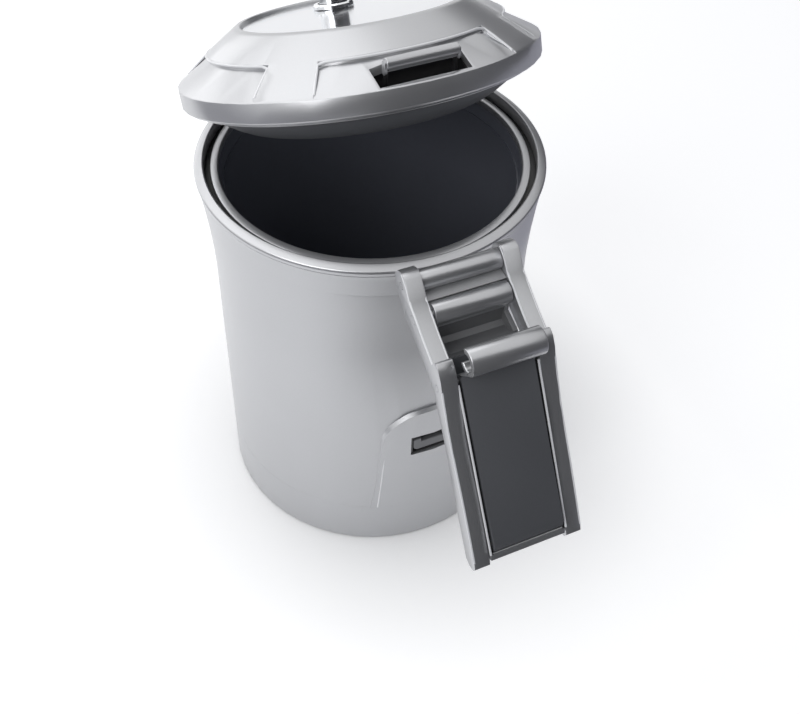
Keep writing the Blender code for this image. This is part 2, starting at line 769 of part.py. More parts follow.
def grip_line():
    """Direction down along the grip and the one out of its face."""
    top = Vector(arm_point(0.542, 0.313))
    low = Vector(arm_point(0.906, 0.848))
    along = (low - top).normalized()
    return top, along, Vector((-along.y, along.x))


def grip_point(down, out):
    """A point at a length down the grip's front line and out of it."""
    top, along, outward = grip_line()
    place = top + along * down + outward * out
    return (place.x, place.y)


def make_arm(name, side, parent):
    boss = arc((BOSS_DISTANCE, BOSS_HEIGHT), BOSS_RADIUS, 230, 60, 12)
    outline = boss + [arm_point(*share) for share in ARM_FRONT_SHARES + ARM_BACK_SHARES]
    inner = ARM_GAP_HALF
    outer = ARM_GAP_HALF + ARM_THICKNESS
    low_x, high_x = (inner, outer) if side > 0 else (-outer, -inner)
    arm = slab("arm", outline, low_x, high_x)
    soften(arm, ARM_EDGE)
    middle = side * (inner + outer) / 2
    bores = ((BOSS_DISTANCE, BOSS_HEIGHT, CROSSBAR_PIN_RADIUS),
             (HANDLE_PIVOT_DISTANCE, HANDLE_PIVOT_HEIGHT, HANDLE_PIN_RADIUS),
             (LEVER_DISTANCE, LEVER_HEIGHT, LEVER_PIN_RADIUS))
    for distance, height, radius in bores:
        cut(arm, rod("bore", radius + PIN_CLEARANCE, ARM_THICKNESS + CUT_OVERRUN,
                     (middle, -distance, height), "X"))
    carry(parent, arm)
    return finish(arm, name, "silver_paint")


def make_crossbar(parent):
    """The roll between the two bosses, on its pin."""
    half = ARM_GAP_HALF - SEAT_GAP
    centre = (0, -BOSS_DISTANCE, BOSS_HEIGHT)
    bar = rod("bar", CROSSBAR_RADIUS, 2 * half, centre, "X")
    lip_far = BOSS_DISTANCE + CROSSBAR_RADIUS / 3
    lip_low = BOSS_HEIGHT - CROSSBAR_RADIUS - CROSSBAR_LIP
    add(bar, box("lip", (-half, -lip_far, lip_low),
                 (half, CROSSBAR_LIP - lip_far, BOSS_HEIGHT)))
    cut(bar, rod("bore", CROSSBAR_PIN_RADIUS + PIN_CLEARANCE, 2 * half + CUT_OVERRUN,
                 centre, "X"))
    carry(parent, bar)
    return finish(bar, "crossbar", "silver_paint")


def make_grip_back(parent):
    """The moulded back of the grip, a channel between the arms."""
    half = ARM_GAP_HALF - SEAT_GAP
    start = GRIP_BACK_START
    length = GRIP_BACK_LENGTH
    deep = -GRIP_BACK_SET_IN
    outline = [grip_point(start, deep + GRIP_BACK_THICKNESS / 2),
               grip_point(start + GRIP_BACK_THICKNESS, deep + GRIP_BACK_THICKNESS),
               grip_point(length - GRIP_BACK_THICKNESS, deep + GRIP_BACK_THICKNESS),
               grip_point(length - GRIP_BACK_THICKNESS, 0),
               grip_point(length, 0),
               grip_point(length, deep + GRIP_BACK_THICKNESS / 2),
               grip_point(length - GRIP_BACK_THICKNESS, deep),
               grip_point(start, deep)]
    back = slab("back", outline, -half, half)
    carry(parent, back)
    return finish(back, "grip_back", "silver_paint")


def make_lever(parent):
    """The dark grip plate that turns on a pin at its top."""
    half = LEVER_HALF_WIDTH
    thick = PLATE_THICKNESS
    length = GRIP_BACK_LENGTH - GRIP_BACK_THICKNESS - PLATE_END_GAP
    outline = [grip_point(-PLATE_RISE, 0), grip_point(length / 2, PLATE_PROUD / 2),
               grip_point(length - thick, PLATE_PROUD), grip_point(length, PLATE_PROUD - thick / 2),
               grip_point(length, PLATE_PROUD - thick), grip_point(length / 2, PLATE_PROUD / 2 - thick),
               grip_point(-PLATE_RISE, -thick)]
    plate = slab("plate", outline, -half, half)
    eye = (LEVER_DISTANCE, LEVER_HEIGHT)
    knuckle = LEVER_PIN_RADIUS + LEVER_EYE_WALL
    hub = slab("hub", [grip_point(-PLATE_RISE + thick, -thick / 3),
                       grip_point(-PLATE_RISE + thick / 4, -thick / 3)]
               + arc(eye, knuckle, 150, 330, 10), -half, half)
    add(plate, hub)
    cut(plate, rod("bore", LEVER_PIN_RADIUS + PIN_CLEARANCE, 2 * half + CUT_OVERRUN,
                   (0, -eye[0], eye[1]), "X"))
    carry(parent, plate)
    return finish(plate, "grip_plate", "dark_grey")


def make_hook_roll(parent):
    """The J-shaped roll at the grip's top, open towards the body."""
    half = LEVER_HALF_WIDTH
    centre = (HOOK_DISTANCE, HOOK_HEIGHT)
    outer = arc(centre, HOOK_RADIUS, 128, -62, 12)
    inner = arc(centre, HOOK_RADIUS - HOOK_WALL, -62, 128, 12)
    seat = -PLATE_RISE - SEAT_GAP
    neck = [grip_point(seat, 0), grip_point(seat, -HOOK_FOOT)]
    outline = outer + neck + inner[1:]
    roll = slab("roll", outline, -half, half)
    carry(parent, roll)
    return finish(roll, "hook_roll", "silver_paint")


def coil_points(centre, radius, pitch, turns, axis):
    """Points along a coil about an axis through the centre."""
    points = []
    count = turns * COIL_SIDES_STEPS
    for index in range(count + 1):
        angle = 2 * math.pi * index / COIL_SIDES_STEPS
        along = pitch * (index / COIL_SIDES_STEPS - turns / 2)
        first = radius * math.cos(angle)
        second = radius * math.sin(angle)
        if axis == "X":
            points.append((centre[0] + along, centre[1] + first, centre[2] + second))
        else:
            points.append((centre[0] + first, centre[1] + second, centre[2] + along))
    return points


def make_handle():
    axis = pivot("handle_swing_axis", (0, -HANDLE_PIVOT_DISTANCE, HANDLE_PIVOT_HEIGHT))
    base = pivot("handle_base", (0, HANDLE_PIVOT_DISTANCE, -HANDLE_PIVOT_HEIGHT), 0, axis)
    make_arm("left_arm", -1, base)
    make_arm("right_arm", 1, base)
    make_crossbar(base)
    make_grip_back(base)
    width = 2 * (ARM_GAP_HALF + ARM_THICKNESS)
    pin("crossbar_pin", CROSSBAR_PIN_RADIUS, width, BOSS_DISTANCE, BOSS_HEIGHT, 0, base)
    pin("handle_pin", HANDLE_PIN_RADIUS, width, HANDLE_PIVOT_DISTANCE, HANDLE_PIVOT_HEIGHT, 0, base)
    pin("lever_pin", LEVER_PIN_RADIUS, width, LEVER_DISTANCE, LEVER_HEIGHT, 0, base)
    lever_axis = pivot("grip_squeeze_axis", (0, -LEVER_DISTANCE, LEVER_HEIGHT), 0, base)
    lever_base = pivot("lever_base", (0, LEVER_DISTANCE, -LEVER_HEIGHT), 0, lever_axis)
    make_lever(lever_base)
    make_hook_roll(lever_base)

# The lid's outer side below its raised ring, as shares of the way from the
# shoulder out to the band and from the shoulder down to the band's top
CONE_SHARES = ((0.0, 0.0), (0.36, 0.33), (0.70, 0.68), (1.0, 1.0))
FRONT_PANEL_ANGLES = (-37, 37)
SIDE_PANEL_ANGLES = (58, 120)


def cone_side(inset=0):
    """Points down the lid's cone from the shoulder to the band's top."""
    points = []
    out = LID_BAND_TOP_RADIUS - LID_SHOULDER_RADIUS
    drop = LID_SHOULDER_RISE - LID_BAND_HEIGHT
    for across, down in CONE_SHARES:
        points.append((LID_SHOULDER_RADIUS + out * across - inset / 2,
                       LID_SHOULDER_RISE - drop * down - inset))
    return points


def lid_inside():
    """Points up the lid's inner surface from the band to the ring's shelf."""
    band = LID_BAND_RADIUS - LID_BAND_WALL
    shelf = LID_DISC_RISE - LID_DISC_THICKNESS - SEAT_GAP
    low_cone = (LID_SHOULDER_RADIUS + band) / 2
    return [(band, 0), (band, LID_INNER_LOW), (low_cone, LID_INNER_LOW + LID_INNER_RISE),
            (LID_SHOULDER_RADIUS, LID_SHOULDER_RISE - LID_WALL),
            (LID_RING_INNER, shelf - LID_SHELF)]


def panel_cutter(name, first, last):
    """A sunk panel of the cone between two angles from the lid's front."""
    out = LID_BAND_TOP_RADIUS
    start = LID_SHOULDER_RADIUS + PANEL_MARGIN
    profile = [(start, LID_RING_RISE + CUT_OVERRUN),
               (out + CUT_OVERRUN, LID_RING_RISE + CUT_OVERRUN),
               (out + CUT_OVERRUN, LID_BAND_HEIGHT - PANEL_FOOT),
               (start, LID_SHOULDER_RISE - PANEL_STEP)]
    bm = bmesh.new()
    corners = [bm.verts.new((0, -radius, height)) for radius, height in profile]
    face = bm.faces.new(corners)
    bmesh.ops.rotate(bm, verts=bm.verts, matrix=Euler((0, 0, math.radians(first))).to_matrix(),
                     cent=(0, 0, 0))
    steps = round(abs(last - first) / PANEL_STEP_ANGLE)
    bmesh.ops.spin(bm, geom=[face], cent=(0, 0, 0), axis=(0, 0, 1),
                   angle=math.radians(last - first), steps=steps, use_merge=False)
    bmesh.ops.recalc_face_normals(bm, faces=bm.faces)
    return new_mesh_object(name, bm)


def make_lid_shell(parent):
    shelf = LID_DISC_RISE - LID_DISC_THICKNESS - SEAT_GAP
    band = LID_BAND_RADIUS
    edge = LID_EDGE_RADIUS
    outside = [(LID_RING_CREST, LID_RING_RISE), (LID_RING_OUTER, LID_RING_RISE - edge)]
    outside += cone_side() + [(band, LID_BAND_HEIGHT - edge), (band, edge), (band - edge, 0)]
    inside = lid_inside()
    ring = [(LID_RING_INNER - LID_SHELF, shelf - LID_SHELF), (LID_RING_INNER - LID_SHELF, shelf),
            (LID_RING_INNER, shelf), (LID_RING_INNER, LID_RING_RISE - edge),
            (LID_RING_INNER + edge / 2, LID_RING_RISE)]
    shell = turned("lid", outside + inside + ring)
    cut(shell, panel_cutter("front_panel", *FRONT_PANEL_ANGLES))
    for side in (-1, 1):
        first, last = (side * angle for angle in SIDE_PANEL_ANGLES)
        cut(shell, panel_cutter("side_panel", min(first, last), max(first, last)))
    top = LID_RING_RISE + CUT_OVERRUN
    low = LID_INNER_LOW / 2
    far = LID_BAND_RADIUS + CUT_OVERRUN
    outline = [(WINDOW_BACK, low), (WINDOW_SILL, low), (WINDOW_SILL, WINDOW_LOW),
               (far, WINDOW_LOW), (far, top), (WINDOW_BACK, top)]
    cut(shell, slab("window", outline, -WINDOW_HALF_WIDTH, WINDOW_HALF_WIDTH))
    carry(parent, shell)
    return finish(shell, "lid_shell", "silver_paint")


def make_lid_disc(parent):
    outer = LID_RING_INNER - SEAT_GAP
    low = LID_DISC_RISE - LID_DISC_THICKNESS
    edge = LID_EDGE_RADIUS / 2
    disc = turned("disc", [(0, LID_DISC_RISE), (outer - edge, LID_DISC_RISE),
                           (outer, LID_DISC_RISE - edge), (outer, low), (0, low)])
    cut(disc, rod("hole", KNOB_RADIUS + RUNNING_GAP, LID_DISC_THICKNESS + CUT_OVERRUN,
                  (0, KNOB_BACK, LID_DISC_RISE - LID_DISC_THICKNESS / 2), "Z", MEDIUM_SEGMENTS))
    carry(parent, disc)
    return finish(disc, "lid_disc", "polished_metal")


def make_lid_plug(parent):
    low = -PLUG_DEPTH
    wall = PLUG_WALL
    flange = LID_BAND_RADIUS - LID_BAND_WALL - SEAT_GAP
    high = LID_INNER_LOW - SEAT_GAP
    edge = PLUG_WALL / 2
    rib = flange - PLUG_WALL / 2
    profile = [(0, low + wall), (PLUG_RADIUS - wall, low + wall),
               (PLUG_RADIUS - wall, SEAT_GAP + wall), (rib, SEAT_GAP + wall), (rib, high),
               (flange, high), (flange, SEAT_GAP), (PLUG_RADIUS, SEAT_GAP),
               (PLUG_RADIUS, low + edge), (PLUG_RADIUS - edge, low), (0, low)]
    plug = turned("plug", profile)
    cut(plug, rod("valve_hole", VALVE_STEM_RADIUS + PIN_CLEARANCE, 2 * wall,
                  (0, KNOB_BACK, low + wall / 2), "Z"))
    carry(parent, plug)
    return finish(plug, "lid_plug", "dark_grey")


def make_lid_seal(parent):
    inner = PLUG_RADIUS + SEAT_GAP
    outer = inner + SEAL_THICKNESS
    trim_top = TRIM_RING_HEIGHT - COUNTERBORE_DEPTH - COLLAR_FLOOR
    under = trim_top + SEAL_FACE_GAP - LID_SEAT_GAP
    profile = [(outer, under + SEAL_HEIGHT), (outer, under + SEAL_THICKNESS / 4),
               (outer - SEAL_THICKNESS / 4, under), (inner, under), (inner, under + SEAL_HEIGHT)]
    seal = turned("seal", profile)
    carry(parent, seal)
    return finish(seal, "lid_seal", "clear_rubber")


def make_window_tray(parent):
    """The black tray below the lid's window, with the catch bar's pin in it."""
    half = WINDOW_HALF_WIDTH + TRAY_WALL
    low = SEAT_GAP + PLUG_WALL + SEAT_GAP
    high = LID_SHOULDER_RISE
    tray = box("tray", (-half, -TRAY_FRONT, low), (half, TRAY_DEPTH + TRAY_WALL - WINDOW_BACK, high))
    inner = half - TRAY_WALL
    cut(tray, box("hollow", (-inner, TRAY_WALL - TRAY_FRONT, low + TRAY_WALL),
                  (inner, TRAY_DEPTH - WINDOW_BACK, high + CUT_OVERRUN)))
    cut(tray, box("front_gap", (-inner, -TRAY_FRONT - CUT_OVERRUN, low + TRAY_WALL + TRAY_LIP),
                  (inner, -WINDOW_BACK, high + CUT_OVERRUN)))
    inside = lid_inside()
    ceiling = [(radius - SEAT_GAP, height - SEAT_GAP) for radius, height in reversed(inside[1:])]
    room = turned("room", [(0, ceiling[0][1])] + ceiling + [(ceiling[-1][0], 0), (0, 0)])
    keep_inside(tray, room)
    cut(tray, rod("bore", CATCH_PIN_RADIUS + PIN_CLEARANCE, 2 * half + CUT_OVERRUN,
                  (0, -CATCH_PIVOT_FORWARD, CATCH_PIVOT_RISE), "X"))
    carry(parent, tray)
    return finish(tray, "window_tray", "black_plastic")


def make_catch_bar(parent):
    """The rolled bar that stands in the window on two ears."""
    half = CATCH_HALF_LENGTH
    roll = (CATCH_FORWARD, CATCH_RISE)
    eye = (CATCH_PIVOT_FORWARD, CATCH_PIVOT_RISE)
    bar = rod("bar", CATCH_RADIUS, 2 * half, (0, -roll[0], roll[1]), "X")
    add(bar, box("lip", (-half, -roll[0], roll[1] - CATCH_LIP),
                 (half, CATCH_LIP_THICKNESS - roll[0], roll[1])))
    for side in (-1, 1):
        near, far = half - CATCH_EAR / 2, half + CATCH_EAR
        low_x, high_x = (near, far) if side > 0 else (-far, -near)
        ear = arc(roll, CATCH_RADIUS + CATCH_EAR / 4, -40, 150, 8)
        ear += arc(eye, CATCH_EYE_RADIUS, 150, 320, 6)
        add(bar, slab("ear", ear, low_x, high_x))
    cut(bar, rod("bore", CATCH_PIN_RADIUS + PIN_CLEARANCE, 2 * WINDOW_HALF_WIDTH,
                 (0, -eye[0], eye[1]), "X"))
    carry(parent, bar)
    return finish(bar, "catch_bar", "silver_paint")


def make_hinge_arm(parent):
    """The arm behind the lid, in the lid's own frame, down to the hinge pin."""
    half = HINGE_ARM_HALF_WIDTH
    eye = (-HINGE_DISTANCE, HINGE_HEIGHT - BODY_HEIGHT - LID_SEAT_GAP)
    crest = LID_BAND_HEIGHT - LID_EDGE_RADIUS
    root = LID_BAND_RADIUS - LID_BAND_WALL
    thick = 2 * HINGE_BARREL_RADIUS
    inner = HINGE_BARREL_RADIUS - HINGE_DISTANCE
    outline = [(-root, LID_EDGE_RADIUS), (-root, crest), (-LID_BAND_RADIUS - thick / 4, crest),
               (inner - 4 * thick / 5, crest - thick / 2)]
    outline += arc(eye, HINGE_BARREL_RADIUS, 165, 360, 10)
    outline += [(inner, -LID_SEAT_GAP), (inner + LID_EDGE_RADIUS, LID_EDGE_RADIUS)]
    arm = slab("arm", outline, -half, half)
    side = [(LID_BAND_RADIUS + SEAT_GAP, height) for height in (crest + CUT_OVERRUN, -CUT_OVERRUN)]
    cut(arm, turned("lid_space", [(0, side[0][1])] + side + [(0, side[1][1])]))
    cut(arm, rod("bore", HINGE_PIN_RADIUS + PIN_CLEARANCE, 2 * half + CUT_OVERRUN,
                 (0, -eye[0], eye[1]), "X"))
    carry(parent, arm)
    return finish(arm, "lid_hinge_arm", "silver_paint")


def make_knob(axis):
    """The post on top of the lid, with the rod of the pump below it."""
    travel = KNOB_HEIGHT - KNOB_COLLAR_HEIGHT - KNOB_STROKE
    top = LID_DISC_RISE + KNOB_HEIGHT
    low = LID_DISC_RISE - LID_DISC_THICKNESS - travel / 2
    edge = KNOB_RADIUS / 6
    head = KNOB_RADIUS + KNOB_HEAD
    profile = [(0, top), (head - edge, top), (head, top - edge), (head, top - KNOB_HEAD_HEIGHT),
               (KNOB_RADIUS, top - KNOB_HEAD_HEIGHT - edge), (KNOB_RADIUS, low), (0, low)]
    knob = turned("knob", profile, MEDIUM_SEGMENTS)
    carry(axis, knob)
    return finish(knob, "pump_knob", "chrome"), low


def make_pump(parent):
    axis = pivot("knob_press_axis", (0, KNOB_BACK, 0), 0, parent)
    low = make_knob(axis)[1]
    outer = KNOB_COLLAR_RADIUS
    inner = KNOB_RADIUS + RUNNING_GAP
    base = LID_DISC_RISE + SEAT_GAP
    edge = KNOB_COLLAR_HEIGHT / 3
    ring = turned("ring", [(inner, base + KNOB_COLLAR_HEIGHT),
                           (outer - edge, base + KNOB_COLLAR_HEIGHT),
                           (outer, base + KNOB_COLLAR_HEIGHT - edge), (outer, base),
                           (inner, base)], MEDIUM_SEGMENTS)
    carry(parent, ring)
    ring.location = (0, KNOB_BACK, 0)
    finish(ring, "knob_collar", "chrome")

    floor = -PLUG_DEPTH + PLUG_WALL + SEAT_GAP
    bore = BARREL_RADIUS - BARREL_WALL
    high = floor + BARREL_DEPTH
    barrel = turned("barrel", [(bore, high), (BARREL_RADIUS, high), (BARREL_RADIUS, floor),
                               (VALVE_RADIUS, floor), (VALVE_RADIUS, floor + BARREL_WALL),
                               (bore, floor + BARREL_WALL)], MEDIUM_SEGMENTS)
    carry(parent, barrel)
    barrel.location = (0, KNOB_BACK, 0)
    finish(barrel, "pump_barrel", "dark_grey")

    piston_top = low - SEAT_GAP - ROD_LENGTH
    piston_low = piston_top - PISTON_THICKNESS
    reach = bore - RUNNING_GAP
    groove = PISTON_THICKNESS / 3
    profile = [(0, low - SEAT_GAP), (ROD_RADIUS, low - SEAT_GAP), (ROD_RADIUS, piston_top),
               (reach, piston_top), (reach, piston_top - groove),
               (reach - SEAL_RING, piston_top - groove),
               (reach - SEAL_RING, piston_low + groove), (reach, piston_low + groove),
               (reach, piston_low), (0, piston_low)]
    piston = turned("piston", profile, MEDIUM_SEGMENTS)
    carry(axis, piston)
    finish(piston, "pump_piston", "dark_grey")

    gap = SEAT_GAP / 2
    ring_in = reach - SEAL_RING + gap
    ring_out = bore - SEAT_GAP
    seal = turned("seal", [(ring_in, piston_top - groove - gap), (ring_out, piston_top - groove - gap),
                           (ring_out, piston_low + groove + gap),
                           (ring_in, piston_low + groove + gap)], MEDIUM_SEGMENTS)
    carry(axis, seal)
    finish(seal, "piston_seal", "rubber")

    start = floor + BARREL_WALL + SEAT_GAP + PUMP_WIRE_RADIUS
    end = piston_low - SEAT_GAP - PUMP_WIRE_RADIUS
    pitch = (end - start) / PUMP_COIL_TURNS
    points = coil_points((0, 0, (start + end) / 2), PUMP_COIL_RADIUS, pitch, PUMP_COIL_TURNS, "Z")
    spring = wire("spring", points, PUMP_WIRE_RADIUS)
    carry(parent, spring)
    spring.location = (0, KNOB_BACK, 0)
    finish(spring, "pump_spring", "steel")

    under = -PLUG_DEPTH - SEAT_GAP
    stem_top = floor + BARREL_WALL
    valve = turned("valve", [(0, stem_top), (VALVE_STEM_RADIUS, stem_top),
                             (VALVE_STEM_RADIUS, under), (VALVE_RADIUS, under),
                             (VALVE_RADIUS - VALVE_THICKNESS / 2, under - VALVE_THICKNESS),
                             (0, under - VALVE_THICKNESS)], SMALL_SEGMENTS)
    carry(parent, valve)
    valve.location = (0, KNOB_BACK, 0)
    finish(valve, "check_valve", "clear_rubber")


def make_lid():
    axis = pivot("lid_hinge_axis", (0, HINGE_DISTANCE, HINGE_HEIGHT), -LID_OPEN_ANGLE)
    rise = BODY_HEIGHT + LID_SEAT_GAP - HINGE_HEIGHT
    base = pivot("lid_base", (0, -HINGE_DISTANCE, rise), 0, axis)
    make_lid_shell(base)
    make_lid_disc(base)
    make_lid_plug(base)
    make_lid_seal(base)
    make_window_tray(base)
    make_hinge_arm(base)
    place = (0, -CATCH_PIVOT_FORWARD, CATCH_PIVOT_RISE)
    catch_axis = pivot("catch_tilt_axis", place, 0, base)
    catch_base = pivot("catch_base", [-value for value in place], 0, catch_axis)
    make_catch_bar(catch_base)
    half = WINDOW_HALF_WIDTH + TRAY_WALL
    pin("catch_pin", CATCH_PIN_RADIUS, 2 * half, CATCH_PIVOT_FORWARD, CATCH_PIVOT_RISE, 0, base)
    make_pump(base)


def make_hinge_pin():
    half = HINGE_ARM_HALF_WIDTH + RUNNING_GAP + HINGE_EAR_THICKNESS
    pin("hinge_pin", HINGE_PIN_RADIUS, 2 * half + SEAT_GAP * 2, -HINGE_DISTANCE, HINGE_HEIGHT,
        HINGE_PIN_HEAD)


def make_body():
    make_outer_shell()
    make_base_ring()
    make_base_plate()
    make_base_pad()
    make_rim_collar()
    make_liner()
    make_trim_ring()
    make_recess_pocket()
    make_release_tongue()
    make_hinge_bracket()
    make_front_bracket()


make_body()
make_hinge_pin()
make_handle()
make_lid()
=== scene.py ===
import json
import math

import bmesh
import bpy
from mathutils import Euler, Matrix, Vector


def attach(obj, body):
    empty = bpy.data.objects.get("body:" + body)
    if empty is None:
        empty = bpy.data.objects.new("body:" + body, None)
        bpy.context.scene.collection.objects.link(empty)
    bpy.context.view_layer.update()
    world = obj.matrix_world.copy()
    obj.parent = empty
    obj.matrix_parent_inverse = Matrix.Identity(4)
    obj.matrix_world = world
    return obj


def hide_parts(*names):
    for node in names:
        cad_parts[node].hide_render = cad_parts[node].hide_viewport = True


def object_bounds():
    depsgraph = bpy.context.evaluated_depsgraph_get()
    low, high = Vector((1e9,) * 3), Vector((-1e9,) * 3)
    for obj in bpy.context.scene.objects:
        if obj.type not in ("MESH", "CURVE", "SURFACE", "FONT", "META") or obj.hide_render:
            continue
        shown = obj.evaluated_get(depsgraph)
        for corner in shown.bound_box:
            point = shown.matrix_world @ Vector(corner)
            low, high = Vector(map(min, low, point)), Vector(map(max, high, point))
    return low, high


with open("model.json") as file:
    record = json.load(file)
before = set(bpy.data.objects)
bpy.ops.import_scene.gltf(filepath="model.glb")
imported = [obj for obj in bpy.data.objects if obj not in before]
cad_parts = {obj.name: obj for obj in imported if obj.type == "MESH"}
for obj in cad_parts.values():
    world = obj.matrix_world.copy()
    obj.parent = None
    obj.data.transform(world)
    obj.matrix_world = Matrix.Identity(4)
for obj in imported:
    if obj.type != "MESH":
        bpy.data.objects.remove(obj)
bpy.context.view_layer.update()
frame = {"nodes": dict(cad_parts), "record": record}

NODES = frame["nodes"]
RIM_RADIUS = 0.068

# Clean-up and shading of the meshes, in metres and degrees
WELD_DISTANCE = 0.00001
FLAT_ANGLE = 0.6
EDGE_ANGLE = 32
SHARP_ANGLE = 35
BEVEL_STEPS = 2

# Texture scales and strengths that all finishes share
COAT_ROUGHNESS = 0.15
SLOW_SCALE = 18.0
SLOW_DETAIL = 3.0
FINE_DETAIL = 2.0
FINE_SHARE = 0.5
RAMP_START = 0.45
LEAST_ROUGHNESS = 0.02
BUMP_HEIGHT = 0.0002


# Materials

def new_look(name):
    """A material with its nodes, links and main shader."""
    look = bpy.data.materials.new(name)
    look.use_nodes = True
    tree = look.node_tree
    return look, tree.nodes, tree.links, tree.nodes["Principled BSDF"]


def maths(nodes, operation, value=None):
    """A node for one sum, with its second number if that is fixed."""
    node = nodes.new("ShaderNodeMath")
    node.operation = operation
    if value is not None:
        node.inputs[1].default_value = value
    return node


def material(name, colour, roughness, metallic=0.0, coat=0.0, grain=900.0,
             grain_depth=0.02, tone=0.04, rough_spread=0.05):
    """A painted, moulded or metal finish: fine grain in the bump, a slow
    change of tone, and a roughness that varies a little."""
    look, nodes, links, shader = new_look(name)
    shader.inputs["Metallic"].default_value = metallic
    shader.inputs["Coat Weight"].default_value = coat
    shader.inputs["Coat Roughness"].default_value = COAT_ROUGHNESS
    place = nodes.new("ShaderNodeTexCoord")
    slow = nodes.new("ShaderNodeTexNoise")
    slow.inputs["Scale"].default_value = SLOW_SCALE
    slow.inputs["Detail"].default_value = SLOW_DETAIL
    links.new(place.outputs["Object"], slow.inputs["Vector"])
    fine = nodes.new("ShaderNodeTexNoise")
    fine.inputs["Scale"].default_value = grain
    fine.inputs["Detail"].default_value = FINE_DETAIL
    links.new(place.outputs["Object"], fine.inputs["Vector"])
    both = maths(nodes, "MULTIPLY_ADD", FINE_SHARE)
    links.new(fine.outputs["Fac"], both.inputs[0])
    links.new(slow.outputs["Fac"], both.inputs[2])
    ramp = nodes.new("ShaderNodeValToRGB")
    darker, lighter = ramp.color_ramp.elements
    darker.position = RAMP_START
    lighter.position = 1.0
    darker.color = (*[c * (1 - tone) for c in colour], 1)
    lighter.color = (*[min(1, c * (1 + tone)) for c in colour], 1)
    links.new(both.outputs[0], ramp.inputs["Fac"])
    links.new(ramp.outputs["Color"], shader.inputs["Base Color"])
    rough = nodes.new("ShaderNodeMapRange")
    rough.inputs["To Min"].default_value = max(LEAST_ROUGHNESS, roughness - rough_spread)
    rough.inputs["To Max"].default_value = roughness + rough_spread
    links.new(slow.outputs["Fac"], rough.inputs["Value"])
    links.new(rough.outputs["Result"], shader.inputs["Roughness"])
    bump = nodes.new("ShaderNodeBump")
    bump.inputs["Strength"].default_value = grain_depth
    bump.inputs["Distance"].default_value = BUMP_HEIGHT
    links.new(fine.outputs["Fac"], bump.inputs["Height"])
    links.new(bump.outputs["Normal"], shader.inputs["Normal"])
    return look


# Each look: name, colour, roughness, metallic, coat, grain, grain depth, tone and spread
LOOKS = {
    "silver": material("silver_paint", (0.50, 0.505, 0.520), 0.34, 0.80, 0.15, 1400, 0.06, 0.03),
    "polished": material("polished_metal", (0.74, 0.75, 0.77), 0.16, 1.0, 0.0, 900, 0.01, 0.02,
                         0.03),
    "chrome": material("chrome", (0.82, 0.83, 0.85), 0.07, 1.0, 0.0, 600, 0.01, 0.01, 0.02),
    "liner": material("liner_gloss", (0.125, 0.132, 0.160), 0.30, 0.0, 0.2, 500, 0.03, 0.06),
    "dark_grey": material("dark_grey_satin", (0.085, 0.088, 0.096), 0.45, 0.0, 0.0, 1800, 0.12,
                          0.06),
    # Black plastic for the catch's links; in the rim's groove and the slots beside the grip the
    # same black is painted shade
    "black": material("black_plastic", (0.012, 0.012, 0.013), 0.4, 0.0, 0.0, 1200, 0.08, 0.1),
    "rubber": material("rubber", (0.03, 0.03, 0.031), 0.75, 0.0, 0.0, 800, 0.15, 0.1),
    "seal": material("seal_rubber", (0.055, 0.056, 0.060), 0.5, 0.0, 0.0, 500, 0.08, 0.05),
    "shade": material("silver_in_shade", (0.17, 0.172, 0.178), 0.5, 0.3, 0.0, 1400, 0.06, 0.03),
    # Painted highlight: a lighter, less metallic copy of the silver for the beads on edges, so
    # they show as bright lines
    "edge": material("edge_painted_highlight", (0.78, 0.785, 0.80), 0.32, 0.15, 0.3, 1400, 0.03, 0.02),
    "yoke": material("silver_mid_shade", (0.30, 0.303, 0.312), 0.4, 0.6, 0.0, 1400, 0.06, 0.03),
    "tongue": material("grey_satin", (0.17, 0.172, 0.180), 0.42, 0.3, 0.0, 1800, 0.10, 0.05),
    "steel": material("steel", (0.5, 0.5, 0.51), 0.25, 1.0, 0.0, 700, 0.03, 0.03),
}
SLOTS = {item["node"]: item["material_slot"] for item in frame["record"]["subparts"]}


def round_edges(item, bevel, angle=EDGE_ANGLE):
    """Soft edges where a bevel is asked for, and else sharp ones."""
    weld = item.modifiers.new("weld", "WELD")
    weld.merge_threshold = WELD_DISTANCE
    flat = item.modifiers.new("flat", "DECIMATE")
    flat.decimate_type = "DISSOLVE"
    flat.angle_limit = math.radians(FLAT_ANGLE)
    if bevel:
        soft = item.modifiers.new("soft", "BEVEL")
        soft.width = bevel
        soft.segments = BEVEL_STEPS
        soft.limit_method = "ANGLE"
        soft.angle_limit = math.radians(angle)
        soft.harden_normals = True
    else:
        split = item.modifiers.new("split", "EDGE_SPLIT")
        split.split_angle = math.radians(angle)


def dress(name, bevel):
    """Give a CAD node its finish, smooth shading and soft edges."""
    item = NODES[name]
    item.data.materials.clear()
    item.data.materials.append(LOOKS[SLOTS[name]])
    item.data.polygons.foreach_set("use_smooth", [True] * len(item.data.polygons))
    round_edges(item, bevel)


# The nodes, and the scene's own pieces, that get a bevel; all others keep sharp edges
BEVELS = {
    "crossbar": 0.0003, "hook_roll": 0.0006, "grip_plate": 0.0005, "grip_back": 0.0005,
    "hinge_bracket": 0.0004, "lid_hinge_arm": 0.0005, "window_tray": 0.0002,
    "recess_pocket": 0.0002,
}
PIECE_BEVELS = {"lid_skin": 0.0006, "catch_roll": 0.0003, "hook_curl": 0.0005, "cradle": 0.0003,
                "tongue_face": 0.0004}
for node in NODES:
    dress(node, BEVELS.get(node, 0.0))
for node in ("handle_pin", "lever_pin"):
    NODES[node].data.materials[0] = LOOKS["silver"]

# Shapes for the scene's own pieces. The lid's frame has its origin on the axis of the closed
# lid, LID_BASE above the hinge; the body's side is waisted at the middle height of BODY_SIDE.
LID_TILT = math.radians(-22.7)
LID_HINGE = Vector((0, 0.0723, 0.1626))
LID_BASE = 0.0080
BODY_SIDE = ((0.0, 0.0680), (0.1244, 0.0648), (0.1700, 0.0680))


